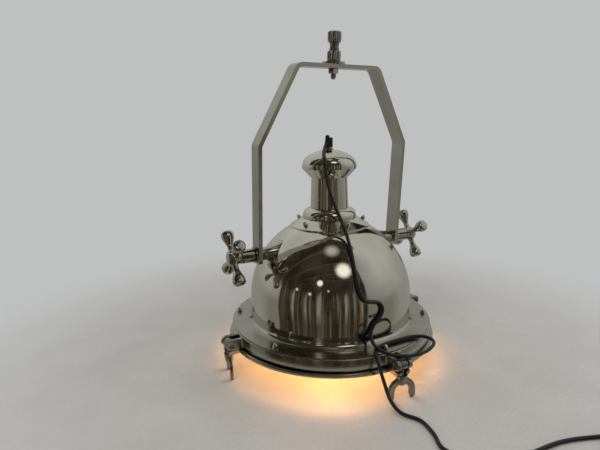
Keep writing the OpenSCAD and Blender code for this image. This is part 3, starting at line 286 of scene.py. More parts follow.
MATERIALS = {
    "polished": metal("polished", (0.75, 0.73, 0.63), (0.68, 0.66, 0.56), 0.035, 0.05, wave=0.00025, lines=0.000004,
                      painted_shade=0.8, spun=True, satin_and_shade_from=0.156),
    "plated_rim": metal("plated_rim", (0.50, 0.48, 0.41), (0.41, 0.39, 0.33), 0.13, 0.10, wave=0.0003, lines=0.000016,
                        grain=0.0002, painted_shade=0.5, spun=True, cast_from=0.1955),
    "plated_bezel": metal("plated_bezel", (0.47, 0.45, 0.385), (0.38, 0.36, 0.30), 0.14, 0.10, wave=0.0003,
                          lines=0.000016, spun=True),
    "plated_frame": metal("plated_frame", (0.58, 0.56, 0.49), (0.48, 0.46, 0.40), 0.06, 0.08, wave=0.0003,
                          lines=0.000006, painted_shade=0.6),
    "yoke_strip": metal("yoke_strip", (0.52, 0.50, 0.435), (0.43, 0.41, 0.355), 0.07, 0.08, wave=0.0004,
                        lines=0.000002, painted_shade=0.5, painted_edge_light=(0.62, 0.59, 0.51), hair_depth=0.000005),
    "aged_plate": metal("aged_plate", CAST_LIGHT, CAST_DARK, 0.20, 0.18, wave=0.0006, grain=0.00016, painted_shade=1.0),
    "bright_fastener": metal("bright_fastener", (0.82, 0.80, 0.76), (0.70, 0.68, 0.63), 0.08, 0.10, lines=0.00001,
                             painted_shade=0.8),
    "hanger_steel": metal("hanger_steel", (0.58, 0.55, 0.49), (0.40, 0.375, 0.33), 0.11, 0.10, painted_shade=0.4),
    "hanger_neck": metal("hanger_neck", (0.44, 0.415, 0.37), (0.28, 0.26, 0.23), 0.14, 0.10, painted_shade=0.4),
    "plain_steel": metal("plain_steel", (0.62, 0.61, 0.59), (0.50, 0.49, 0.46), 0.25, 0.15, lines=0.00002, painted_shade=0.9),
    "bulb_cap_metal": metal("bulb_cap_metal", (0.78, 0.74, 0.64), (0.66, 0.61, 0.50), 0.22, 0.14, lines=0.00001,
                            painted_shade=0.8),
    "pin_metal": metal("pin_metal", (0.80, 0.77, 0.70), (0.66, 0.60, 0.46), 0.16, 0.12, lines=0.00001, painted_shade=0.5),
    "seal_rubber": rubber("seal_rubber", (0.10, 0.065, 0.042), (0.17, 0.11, 0.07), 0.55, 0.1, 0.2),
    "cord_rubber": rubber("cord_rubber", (0.006, 0.006, 0.007), (0.012, 0.012, 0.013), 0.36, 0.0, 0.05),
    "black_tape": rubber("black_tape", (0.006, 0.006, 0.007), (0.013, 0.013, 0.014), 0.30, 0.0, 0.05),
    "front_glass": glass(), "bulb_glass": lit_glass(), "holder_ceramic": ceramic()}


# Mesh code, in mm
def shifted(x, y, z):
    return np.array(Matrix.Translation((x, y, z)))


def turned(degrees, axis):
    return np.array(Matrix.Rotation(math.radians(degrees), 4, axis))


def moved(points, place):
    return np.asarray(points, float) @ place[:3, :3].T + place[:3, 3]


def piece(name, shells, body, slot, place=None, sharp=35.0):
    """A mesh of one or more shells, each points in mm and faces, that rides on a body."""
    points, faces, start = [], [], 0
    for shell_points, shell_faces in shells:
        points.append(np.asarray(shell_points, float))
        faces += [tuple(int(start + k) for k in face) for face in shell_faces]
        start += len(shell_points)
    points = np.vstack(points)
    if place is not None:
        points = moved(points, place)
    mesh = bpy.data.meshes.new(name)
    mesh.from_pydata((points * MM).tolist(), [], faces)
    shell = bmesh.new()
    shell.from_mesh(mesh)
    bmesh.ops.remove_doubles(shell, verts=shell.verts, dist=1e-7)
    bmesh.ops.recalc_face_normals(shell, faces=shell.faces)
    shell.to_mesh(mesh)
    shell.free()
    mesh.shade_smooth()
    mesh.set_sharp_from_angle(angle=math.radians(sharp))
    mesh.materials.append(MATERIALS[slot])
    obj = bpy.data.objects.new(name, mesh)
    bpy.context.scene.collection.objects.link(obj)
    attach(obj, body)
    return obj


def unit(v):
    return v / np.linalg.norm(v)


def across(v, d):
    return unit(v - np.dot(v, d) * d)


def smooth(points, steps):
    """Points along a centripetal curve through a list of points, as part.scad lays the cord."""
    p = np.array(points, float)
    p = np.vstack([2 * p[0] - p[1], p, 2 * p[-1] - p[-2]])
    out = []
    for i in range(len(p) - 3):
        p0, p1, p2, p3 = p[i:i + 4]
        t1 = math.sqrt(np.linalg.norm(p1 - p0))
        t2 = t1 + math.sqrt(np.linalg.norm(p2 - p1))
        t3 = t2 + math.sqrt(np.linalg.norm(p3 - p2))
        for k in range(steps):
            t = t1 + (t2 - t1) * k / steps
            a1 = p0 + (p1 - p0) * t / t1
            a2 = p1 + (p2 - p1) * (t - t1) / (t2 - t1)
            a3 = p2 + (p3 - p2) * (t - t2) / (t3 - t2)
            b1 = a1 + (a2 - a1) * t / t2
            b2 = a2 + (a3 - a2) * (t - t1) / (t3 - t1)
            out.append(b1 + (b2 - b1) * (t - t1) / (t2 - t1))
    out.append(p[-2])
    return np.array(out)


def bridge(rings, ends="capped"):
    """Faces between rings of equal size. The two end rings are capped, left open, or joined to each other."""
    count, sides = len(rings), len(rings[0])
    faces = []
    for i in range(count if ends == "joined" else count - 1):
        a, b = i * sides, ((i + 1) % count) * sides
        faces += [(a + k, a + (k + 1) % sides, b + (k + 1) % sides, b + k) for k in range(sides)]
    if ends == "capped":
        faces += [tuple(range(sides))[::-1], tuple((count - 1) * sides + k for k in range(sides))]
    return np.vstack(rings), faces


def tube(path, radius, sides=20, first=None, last=None):
    """Rings of a round tube along a path, carried along without twist."""
    path = np.array(path, float)
    n = len(path)
    head = [unit(path[min(i + 1, n - 1)] - path[max(i - 1, 0)]) for i in range(n)]
    head[0] = head[0] if first is None else unit(np.array(first, float))
    head[-1] = head[-1] if last is None else unit(np.array(last, float))
    angle = 2 * math.pi * np.arange(sides) / sides
    u, rings = np.array([0.3, 0.9, 0.1]), []
    for p, d in zip(path, head):
        u = across(u, d)
        w = np.cross(d, u)
        rings.append(p + radius * (np.cos(angle)[:, None] * u + np.sin(angle)[:, None] * w))
    return rings


def eased(corners, closed=True, steps=4):
    """An outline of corners, each (x, y) or (x, y, radius), with those that have a radius drawn as arcs."""
    n, out = len(corners), []
    for i, corner in enumerate(corners):
        p = np.array(corner[:2], float)
        if len(corner) < 3 or (not closed and i in (0, n - 1)):
            out.append(tuple(p))
            continue
        before = np.array(corners[i - 1][:2], float) - p
        after = np.array(corners[(i + 1) % n][:2], float) - p
        u, v = unit(before), unit(after)
        half = math.acos(max(-1.0, min(1.0, float(u @ v)))) / 2
        reach = min(corner[2] / math.tan(half), 0.49 * np.linalg.norm(before), 0.49 * np.linalg.norm(after))
        centre = p + unit(u + v) * reach / math.cos(half)
        a, b = p + u * reach - centre, p + v * reach - centre
        bend = math.pi - 2 * half
        for k in range(steps + 1):
            s = k / steps
            out.append(tuple(centre + (a * math.sin((1 - s) * bend) + b * math.sin(s * bend)) / math.sin(bend)))
    return out


def arc(x, y, r, start, end, steps):
    return [(x + r * math.cos(math.radians(start + (end - start) * k / steps)),
             y + r * math.sin(math.radians(start + (end - start) * k / steps))) for k in range(steps + 1)]


def lathe(profile, sides=96, warp=None):
    """A shape turned about z from an outline of (r, z), which runs from the axis to the axis or closes on itself.
    warp(r, angles) may change the radius round the shape."""
    angle = 2 * math.pi * np.arange(sides) / sides
    rings = []
    for r, z in profile:
        radius = warp(r, angle) if warp else np.full(sides, r)
        rings.append(np.column_stack([radius * np.cos(angle), radius * np.sin(angle), np.full(sides, z)]))
    on_axis = profile[0][0] == 0 and profile[-1][0] == 0
    return bridge(rings, "open" if on_axis else "joined")


def hexagon(af):
    """Keeps a turned shape inside a hexagon of a width across its flats."""
    def warp(r, angle):
        return np.minimum(r, af / 2 / np.cos(np.mod(angle, math.pi / 3) - math.pi / 6))
    return warp


def threaded(root, crest, low, high, pitch, sides=32, limit=None):
    """A rod with a round helical thread. limit(z) may hold the radius down near an end."""
    angle = 2 * math.pi * np.arange(sides) / sides
    rings = []
    for z in np.linspace(low, high, int((high - low) / pitch * 6) + 2):
        r = root + (crest - root) * (0.5 + 0.5 * np.cos(2 * math.pi * z / pitch - angle))
        if limit:
            r = np.minimum(r, limit(z))
        rings.append(np.column_stack([r * np.cos(angle), r * np.sin(angle), np.full(sides, z)]))
    return bridge(rings)


def soft_min(a, b, k):
    """The nearer of two distances, with their meeting rounded off over k."""
    h = np.clip(0.5 + 0.5 * (b - a) / k, 0, 1)
    return b + (a - b) * h - k * h * (1 - h)


def soft_max(a, b, k):
    return -soft_min(-a, -b, k)


def slab(flat, off, half, edge):
    """Distance to a plate: flat is the distance to its outline, off the distance from its middle plane."""
    x, y = flat + edge, np.abs(off) - half + edge
    return np.minimum(np.maximum(x, y), 0) + np.hypot(np.maximum(x, 0), np.maximum(y, 0)) - edge


def drawn(points, field, most):
    """Points moved down the slope of a field to where it is zero, by no more than a distance."""
    h = 0.02
    slope = np.column_stack([(field(points + h * e) - field(points - h * e)) / (2 * h) for e in np.eye(3)])
    size = np.maximum((slope ** 2).sum(1), 0.05)
    move = np.clip(field(points) / size, -most, most)
    return points - move[:, None] * slope


def cast(field, low, high, step, rounds=3):
    """The closed surface on which field is zero, inside a box: a skin over a grid, evened and drawn onto the surface."""
    axes = [np.arange(a, b + step, step) for a, b in zip(low, high)]
    grid = np.stack(np.meshgrid(*axes, indexing="ij"), -1)
    value = field(grid.reshape(-1, 3)).reshape(grid.shape[:3])
    for axis in range(3):
        edge = np.moveaxis(value, axis, 0)
        edge[0], edge[-1] = np.maximum(edge[0], step / 4), np.maximum(edge[-1], step / 4)
    cells = np.array(value.shape) - 1
    corners = list(itertools.product((0, 1), repeat=3))
    inside = sum((value[tuple(slice(o, o + n) for o, n in zip(c, cells))] < 0).astype(int) for c in corners)
    active = (inside > 0) & (inside < 8)
    number = np.full(active.shape, -1)
    number[active] = np.arange(active.sum())
    where = np.argwhere(active)
    total, hits = np.zeros((len(where), 3)), np.zeros(len(where))
    for corner in corners:
        for axis in range(3):
            if corner[axis]:
                continue
            a = where + corner
            b = a + np.eye(3, dtype=int)[axis]
            at_a, at_b = value[tuple(a.T)], value[tuple(b.T)]
            cut = (at_a < 0) != (at_b < 0)
            spot = a[cut].astype(float)
            spot[:, axis] += at_a[cut] / (at_a[cut] - at_b[cut])
            total[cut] += spot
            hits[cut] += 1
    points = np.array(low) + step * total / hits[:, None]
    faces = []
    for axis in range(3):
        _, u, w = np.roll(np.eye(3, dtype=int), -axis, 0)
        here = np.argwhere((value < 0) != np.roll(value < 0, -1, axis))
        here = here[here[:, axis] < cells[axis]]
        faces.append(np.column_stack([number[tuple((here - s).T)] for s in (0 * u, u, u + w, w)]))
    faces = np.vstack(faces)
    for _ in range(rounds):
        total, count = np.zeros_like(points), np.zeros(len(points))
        for k in range(4):
            np.add.at(total, faces[:, k], points[faces[:, (k + 1) % 4]] + points[faces[:, k - 1]])
            np.add.at(count, faces[:, k], 2)
        points = 0.5 * points + 0.5 * total / count[:, None]
        for _ in range(2):
            points = drawn(points, field, step)
    return points, faces.tolist()


# Places repeated from the part's source, mm
TRUNNION_Z = middle("trunnion_stud_right")[2]
PIN_Z = middle("clevis_pins")[2]
CLEVIS_R = 215.0
CLAMPS = {"right": 2.5, "rear": 92.5, "left": 182.5, "front": 272.5}
WING_TURN = -11.0
YOKE_TILT = 4.5
HANGER_OFF = 5.0
ON_HANGER = shifted(0, 0, TRUNNION_Z) @ turned(YOKE_TILT, "X") @ shifted(-HANGER_OFF, 0, 0)


def at_clamp(angle):
    """The clamp's pivot: x points out, y along the pin, z up from the table."""
    return turned(angle, "Z") @ shifted(CLEVIS_R, 0, 0)


# Cord, tape, lead and plug
CORD_D = 6.0
CORD_ROUTE = [
    [-14, -8, 399.5], [-24, -22, 393], [-32, -38, 382.5], [-34, -46, 362], [-31, -55, 325],
    [-19, -87, 260], [-23, -113, 228.5], [-29, -138, 191], [-28.5, -150, 166], [-22, -155.5, 153.5],
    [-8, -156.5, 149.5], [5, -157, 146], [11, -158.5, 134.5], [5, -160, 122], [-7.5, -160, 110.5],
    [-14, -160.5, 96.5], [-17, -169, 87.5], [-18, -187, 82], [-7, -205, 77], [15, -217, 74.5],
    [45, -222, 75], [72, -214.5, 77], [87, -200, 77.5], [84.5, -181.5, 77.5], [64, -171, 77.5],
    [35, -170, 77.5], [4, -172.5, 77.5], [-14, -177.5, 77.5], [-25.5, -191, 77], [-29.5, -205, 66],
    [-27, -215, 42], [-24, -231, 14.5], [-21, -251, 5.5], [-5, -278, 3.3], [-9, -310, 3.3],
    [-19, -340, 3.3], [5, -380, 3.3], [60, -398, 3.3], [138, -405, 3.3], [216, -431, 3.3]]
COIL_R, COIL_STEP, COIL_TURNS = 40.5, 6.6, 3.5
CORD_STEPS, COIL_STEPS = 8, 48
ROUTE = np.array(CORD_ROUTE, float)
HEADING = math.degrees(math.atan2(*(ROUTE[-1] - ROUTE[-2])[1::-1]))
AHEAD = np.array([math.cos(math.radians(HEADING)), math.sin(math.radians(HEADING)), 0])
SIDE = np.array([-AHEAD[1], AHEAD[0], 0])
COIL_MID = ROUTE[-1] + CORD_D * AHEAD - COIL_R * SIDE
COIL_END = COIL_MID + np.array([0, 0, COIL_STEP]) - COIL_R * SIDE
PLUG_AT = COIL_END - CORD_D * AHEAD
AT_PLUG = shifted(*PLUG_AT) @ turned(HEADING + 180, "Z")
PLUG_L, PLUG_W, PLUG_T, PLUG_CORNER, RELIEF_L = 32.0, 34.0, 19.2, 7.0, 30.0
PIN_GAP, PIN_R, PIN_L, PIN_SLEEVE = 19.0, 2.4, 19.0, 9.0
GLAND_TOP = box("gland")[1][2]
SPLICE_TOP = box("splice")[1][2]


def coil_place(turn):
    from_middle = abs(turn - COIL_TURNS / 2)
    r = COIL_R - COIL_STEP * (COIL_TURNS / 2 - from_middle)
    a = math.radians(HEADING + 90 - 360 * turn)
    climb = min(max((turn - COIL_TURNS / 2) * 2 + 0.5, 0), 1)
    return COIL_MID + np.array([r * math.cos(a), r * math.sin(a), COIL_STEP * climb])


def make_cord():
    coil = [coil_place(i / COIL_STEPS) for i in range(int(COIL_TURNS * COIL_STEPS) + 1)]
    path = np.vstack([smooth(ROUTE, CORD_STEPS), coil, [PLUG_AT]])
    cord = piece("supply_cord", [bridge(tube(path, CORD_D / 2, 20, unit(ROUTE[1] - ROUTE[0]), -AHEAD))], "lamp",
                 "cord_rubber")
    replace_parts(cord, "cord", "cord_coil")
    return cord, path * MM


def plug_field(p):
    """A rounded block with finger grooves in its sides, and a ribbed strain relief behind it."""
    x, y, z = p.T
    mid = RELIEF_L + PLUG_L / 2
    flat_x = np.abs(x - mid) - PLUG_L / 2 + PLUG_CORNER
    flat_y = np.abs(y) - PLUG_W / 2 + PLUG_CORNER
    flat = np.minimum(np.maximum(flat_x, flat_y), 0) + np.hypot(np.maximum(flat_x, 0), np.maximum(flat_y, 0))
    grooves = 0.5 * np.exp(-((np.mod(x - mid, 4.5) - 2.25) / 0.8) ** 2) * (np.abs(x - mid) < 9)
    body = slab(flat - PLUG_CORNER + grooves * (np.abs(y) > PLUG_W / 2 - 5), z, PLUG_T / 2, 3.0)
    ribs = np.where(x > 2, 0.45 * np.cos(2 * math.pi * x / 3.6), 0)
    relief = np.hypot(y, z) - (4.2 + 2.0 * np.clip(x / RELIEF_L, 0, 1) + ribs)
    relief = np.maximum(relief, np.maximum(-x, x - RELIEF_L - 6))
    return soft_min(body, relief, 3.0)


def make_plug():
    """The moulded plug, and two pins with sleeved roots."""
    shells = [cast(plug_field, (-1, -18, -10.6), (RELIEF_L + PLUG_L + 1, 18, 10.6), 0.7)]
    pins = []
    for side in (-1, 1):
        along = shifted(RELIEF_L + PLUG_L, side * PIN_GAP / 2, 0) @ turned(90, "Y")
        sleeve, faces = lathe(eased([(0, -1), (PIN_R, -1), (PIN_R, PIN_SLEEVE, 0.4), (0, PIN_SLEEVE)], False), 32)
        shells.append((moved(sleeve, along), faces))
        outline = [(0, PIN_SLEEVE - 1), (PIN_R - 0.25, PIN_SLEEVE - 1), (PIN_R - 0.25, PIN_SLEEVE + 0.3),
                   (PIN_R, PIN_SLEEVE + 0.6)] + arc(0, PIN_L - PIN_R, PIN_R, 0, 85, 6) + [(0, PIN_L)]
        pin, faces = lathe(outline, 32)
        pins.append((moved(pin, along), faces))
    body = piece("moulded_plug", shells, "lamp", "cord_rubber", AT_PLUG)
    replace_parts(body, "plug")
    prongs = piece("plug_prongs", pins, "lamp", "pin_metal", AT_PLUG)
    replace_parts(prongs, "plug_pins")
    return [body, prongs]


TAPE_LOBES = [(-2.6, 1.5, SPLICE_TOP), (2.6, -1.5, SPLICE_TOP - 2.6)]
TAPE_TAIL = smooth([[-2.6, 1.5, SPLICE_TOP - 1.5], [-2.8, 1.5, SPLICE_TOP - 7], [-5.5, 0.5, SPLICE_TOP - 14],
                    CORD_ROUTE[0]], 4)
TAPE_RADII = 4 - 0.7 * np.linspace(0, 1, len(TAPE_TAIL))


def tape_field(p):
    """Tape wound round the lead and the cord: two humps, the lead's lower, and a tail down the cord."""
    x, y, z = p.T
    lap = 0.28 * np.mod((z + 0.9 * x - 0.5 * y) / 4.2, 1.0)
    out = np.full(len(p), 99.0)
    for at_x, at_y, top in TAPE_LOBES:
        lobe = slab(np.hypot(x - at_x, y - at_y) - 4, z - (GLAND_TOP + top) / 2, (top - GLAND_TOP) / 2, 1.4)
        out = soft_min(out, lobe, 2.2)
    for a, b, ra, rb in zip(TAPE_TAIL[:-1], TAPE_TAIL[1:], TAPE_RADII[:-1], TAPE_RADII[1:]):
        share = np.clip((p - a) @ (b - a) / ((b - a) @ (b - a)), 0, 1)
        reach = np.linalg.norm(p - a - share[:, None] * (b - a), axis=1)
        out = soft_min(out, reach - (ra + (rb - ra) * share), 0.8)
    return out + 0.25 - lap


def make_tape():
    tape = piece("splice_tape", [cast(tape_field, (-19, -13, GLAND_TOP - 6), (8, 7, SPLICE_TOP + 1), 0.5, 1)], "lamp",
                 "black_tape", sharp=50)
    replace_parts(tape, "splice")
    return tape


def make_lead():
    """The lead down the middle of the threaded tube, from the splice to the lamp holder."""
    low, high = box("lamp_lead")
    path = [[0.15 * math.sin(z / 17), 0.15 * math.cos(z / 13), z] for z in np.linspace(low[2], high[2], 60)]
    lead = piece("inner_lead", [bridge(tube(path, 2.8, 20))], "lamp", "cord_rubber")
    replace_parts(lead, "lamp_lead")


cord_piece, cord_path = make_cord()
make_plug() + [make_tape()]
make_lead()

# Cast pieces
HUB_FROM, HUB_TO, HUB_R, ARM_X = 183.0, 206.0, 12.0, 195.65
WAIST_AT, WAIST_R, LOBE_AT, LOBE_END, LOBE_R, TIP_POWER = 20.0, 5.2, 44.5, 7.5, 11.5, 3.4
HANDLES = {"left": (-1, 51.0), "right": (1, 60.0)}


def handle_field(turn):
    """A hub along x and four clubs square to it, all in one casting."""
    def field(p):
        x, y, z = p.T
        hub = slab(np.hypot(y, z) - HUB_R, x - HUB_TO + 16, 16, 4.0)
        hub = np.maximum(hub, HUB_FROM - x)
        arms = np.full(len(p), 99.0)
        for k in range(4):
            c, s = math.cos(math.radians(turn + 90 * k)), math.sin(math.radians(turn + 90 * k))
            along, off = c * y + s * z, np.hypot(c * z - s * y, x - ARM_X)
            swell = (1 - np.cos(math.pi * np.clip((along - WAIST_AT) / (LOBE_AT - WAIST_AT), 0, 1))) / 2
            root = np.clip((WAIST_AT - along) / 12, 0, 1) ** 2
            stem = off - (WAIST_R + (LOBE_R - WAIST_R) * swell + 1.5 * root)
            past = np.maximum(along - LOBE_AT, 0) / LOBE_END
            tip = LOBE_R * (((off / LOBE_R) ** TIP_POWER + past ** TIP_POWER) ** (1 / TIP_POWER) - 1)
            arms = soft_min(arms, np.maximum(np.where(along > LOBE_AT, tip, stem), 2 - along), 3.0)
        return soft_min(hub, arms, 5.0)
    return field


def make_handles():
    reach = LOBE_AT + LOBE_END + 2
    for side, (way, turn) in HANDLES.items():
        points, faces = cast(handle_field(turn), (HUB_FROM - 2, -reach, -reach), (HUB_TO + 2, reach, reach), 1.0)
        points[:, 0] *= way
        handle = piece("cast_handle_" + side, [(points, faces)], "handle_" + side, "plated_frame",
                       shifted(0, 0, TRUNNION_Z), sharp=60)
        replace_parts(handle, "cross_handle_" + side)


BOLT_R, BOLT_LOW, EYE_R, EYE_T = 4.0, 23.4, 8.5, 13.0
NUT_TOP, NUT_HUB_LOW, NUT_HUB_R, WING_OUT, WING_W, WING_T = 43.4, 27.4, 9.5, 25.0, 11.5, 5.5


def wing_field(p):
    """A tapered hub and an arch of two wings under it, whose round tips stand on the table."""
    x, y, z = p.T
    arch_z = NUT_TOP - 5 - WING_OUT
    off, tip = np.abs(y), WING_W / 2
    mid = WING_OUT - tip
    leg = np.hypot(off - mid, np.minimum(z - tip, 0))
    flat = np.where(z > arch_z, np.abs(np.hypot(off, z - arch_z) - mid), leg) - tip
    swell = 1 + 0.09 * np.clip(1 - off / 14, 0, 1)
    wings = slab(flat, x / swell, WING_T / 2, 1.8)
    hub_r = NUT_HUB_R - 2 * np.clip((NUT_TOP - z) / (NUT_TOP - NUT_HUB_LOW), 0, 1)
    hub = slab(np.hypot(x, y) - hub_r, z - (NUT_TOP + NUT_HUB_LOW) / 2, (NUT_TOP - NUT_HUB_LOW) / 2, 1.0)
    return soft_min(wings, hub, 3.0)


def eye_field(p):
    """The eye of a swing bolt and the plain neck below it."""
    x, y, z = p.T
    eye = slab(np.hypot(x, z - PIN_Z) - EYE_R, y, EYE_T / 2, 1.6)
    neck = np.maximum(np.hypot(x, y) - BOLT_R + 0.02, np.maximum(z - PIN_Z, NUT_TOP + 2 - z))
    return soft_min(eye, neck, 3.0)


RING_LOW, RING_HIGH = box("rim_ring")[0][2], box("rim_ring")[1][2]
RING_BORE, RING_R, CHEEK_IN, CHEEK_T, CHEEK_R, RECESS, RECESS_R = 172.0, 194.0, 7.0, 8.0, 9.5, 2.0, 5.0


def clevis_field(p):
    """Two cheeks that grow out of the ring's side, each with a round end and a recess over the pin."""
    x, y, z = p.T
    flat = np.hypot(np.maximum(x, 0), z - PIN_Z) - CHEEK_R
    cheeks = slab(flat, np.abs(y) - CHEEK_IN - CHEEK_T / 2, CHEEK_T / 2, 1.6)
    recess = np.maximum(np.hypot(x, z - PIN_Z) - RECESS_R, CHEEK_IN + CHEEK_T - RECESS - np.abs(y))
    cheeks = soft_max(cheeks, -recess, 0.8)
    mid, half = (RING_LOW + RING_HIGH) / 2, (RING_HIGH - RING_LOW) / 2
    ring = np.maximum(np.hypot(x + CLEVIS_R, y) - RING_R + 0.35, np.abs(z - mid) - half + 0.4)
    return np.maximum(soft_min(cheeks, ring, 4.0), np.maximum(RING_LOW - z, z - RING_HIGH + 0.1))


def make_clamps():
    """The bolted ring with a softened top edge and four cast clevises, and in each a swing bolt with its wing nut."""
    nut_shell = cast(wing_field, (-11, -27, -1), (11, 27, NUT_TOP + 1), 0.8)
    eye_shell = cast(eye_field, (-10, -8, NUT_TOP + 1), (10, 8, PIN_Z + EYE_R + 1), 0.6)
    shank = threaded(BOLT_R - 0.55, BOLT_R, BOLT_LOW, NUT_TOP + 5, 1.25, 32,
                     lambda z: BOLT_R / 2 + max(z - BOLT_LOW, 0))
    outline = eased([(RING_BORE, RING_LOW, 0.5), (RING_R, RING_LOW, 0.8), (RING_R, RING_HIGH, 1.5),
                     (RING_BORE, RING_HIGH, 0.5)])
    ring_shells = [lathe(outline, 240)]
    clevis, clevis_faces = cast(clevis_field, (-27, -22, RING_LOW - 1), (11, 22, RING_HIGH + 1), 0.7)
    for name, angle in CLAMPS.items():
        place = at_clamp(angle)
        nut = piece("cast_wing_nut_" + name, [nut_shell], "wing_nut_" + name, "aged_plate",
                    place @ turned(WING_TURN, "Z"), sharp=60)
        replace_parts(nut, "wing_nut_" + name)
        bolt = piece("eye_bolt_" + name, [eye_shell, shank], "swing_bolt_" + name, "aged_plate", place, sharp=60)
        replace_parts(bolt, "swing_bolt_" + name)
        ring_shells.append((moved(clevis, place), clevis_faces))
    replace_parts(piece("rim_casting", ring_shells, "lamp", "plated_rim", sharp=40), "rim_ring")


make_handles()
make_clamps()


# Turned pieces
def acorn(af, base):
    """A domed nut on its seat at z 0, above a round base."""
    hex_h, ball = 0.55 * af, 0.46 * af
    outline = ([(0, base), (0.47 * af, base), (0.58 * af, base + 0.35), (0.58 * af, base + hex_h - 0.35),
                (0.49 * af, base + hex_h)] + arc(0, base + hex_h, ball, 4, 86, 8) + [(0, base + hex_h + ball)])
    return lathe(outline, 60, hexagon(af))


def make_acorns():
    points, faces = acorn(8, 0.0)
    nuts = [(moved(points, turned(30 + 60 * k, "Z") @ shifted(183, 0, 75)), faces) for k in range(6)]
    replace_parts(piece("flange_acorns", nuts, "lamp", "bright_fastener", sharp=28), "flange_nuts")
    collar_slope = math.degrees(math.atan2(13, 21))
    base = lathe(eased([(0, 0.05), (4.34, 0.05, 0.2), (4.34, 0.85, 0.3), (0, 0.85)], False), 40)
    nuts = []
    for k in range(5):
        place = turned(270 + 72 * k, "Z") @ shifted(65, 0, 261.98) @ turned(collar_slope, "Y")
        nuts += [(moved(points, place), faces) for points, faces in (acorn(7, 0.85), base)]
    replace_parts(piece("collar_acorns", nuts, "lamp", "bright_fastener", sharp=28), "collar_nuts")


KNURL_R, KNURL_D, KNURLS, HANGER_BORE = 12.0, 0.9, 22, 5.1


def knurls(r, angle):
    saw = np.abs(np.mod(angle * KNURLS / (2 * math.pi), 1.0) - 0.5) * 2
    return np.minimum(r, KNURL_R - KNURL_D * saw) if r > 0.8 * KNURL_R else np.full(len(angle), float(r))


def knurled(low, high, floor=None):
    """A knurled nut with bevelled ends and a turned groove near its foot. With a floor its bore stops there."""
    bore = HANGER_BORE
    outline = [(bore, low + 0.4), (bore + 0.4, low), (KNURL_R - 1.6, low), (KNURL_R, low + 1.4),
               (KNURL_R, low + 2.4), (KNURL_R - 1.1, low + 2.7), (KNURL_R - 1.1, low + 3.3), (KNURL_R, low + 3.6),
               (KNURL_R, high - 1.6), (KNURL_R - 1.6, high), (bore + 0.8, high), (bore, high - 0.8)]
    if floor:
        outline = [(0, low)] + outline[2:] + [(bore, floor), (0, floor)]
    return lathe(outline, 360, knurls)


def flutes(r, angle):
    return r - 0.25 * (0.5 + 0.5 * np.cos(26 * angle)) * (7.6 < r < 8.46)


def make_hanger():
    bore = HANGER_BORE
    lower = piece("knurled_lower_nut", [knurled(335.3, 352.8)], "lower_knurled_nut", "hanger_steel", ON_HANGER)
    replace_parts(lower, "lower_knurled_nut")
    upper = piece("knurled_upper_nut", [knurled(366.9, 384.4, 372.4)], "upper_knurled_nut", "hanger_steel", ON_HANGER)
    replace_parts(upper, "upper_knurled_nut")

    low, high = 353.1, 366.6
    waist = [(8.45 - 0.6 * math.sin(math.pi * k / 8), low + 3.2 + (high - low - 5.2) * k / 8) for k in range(9)]
    outline = [(bore, low), (8.5, low), (9, low + 0.5), (9, low + 1.6), (8.3, low + 2.2)] + waist + [
        (8.3, high - 1.4), (9, high - 1.0), (9, high - 0.3), (8.7, high), (bore, high)]
    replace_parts(piece("fluted_neck", [lathe(outline, 260, flutes)], "yoke", "hanger_neck", ON_HANGER), "hanger_neck")

    foot, r = 305.5, 5.0
    stud = threaded(4.4, r, foot, 370.6, 1.5, 40, lambda z: math.sqrt(max(r * r - max(foot + r - z, 0) ** 2, 0.01)))
    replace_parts(piece("threaded_stud", [stud], "yoke", "hanger_steel", ON_HANGER, sharp=60), "hanger_stud")
    af, low, high = 17.0, 315.45, 323.95
    outline = [(bore, low), (0.46 * af, low), (0.5 * af, low + 0.35), (0.58 * af, low + 1.1),
               (0.58 * af, high - 0.8), (0.52 * af, high), (bore, high)]
    nut = piece("chamfered_nut", [lathe(outline, 120, hexagon(af))], "yoke", "bright_fastener", ON_HANGER, sharp=25)
    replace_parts(nut, "hanger_hex_nut")


def make_seal():
    """The rubber seal: a flat ring with a bead along its inner lip."""
    low, high = box("gasket")
    outline = eased([(172, low[2]), (high[0], low[2], 0.5), (high[0], high[2], 0.5), (172, high[2], 0.3),
                     (169, high[2] - 0.2, 0.5), (166.2, high[2] - 0.05, 0.6), (166.2, low[2] + 0.05, 0.6),
                     (169, low[2] + 0.2, 0.5)])
    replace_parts(piece("seal_ring", [lathe(outline, 200)], "lamp", "seal_rubber"), "gasket")


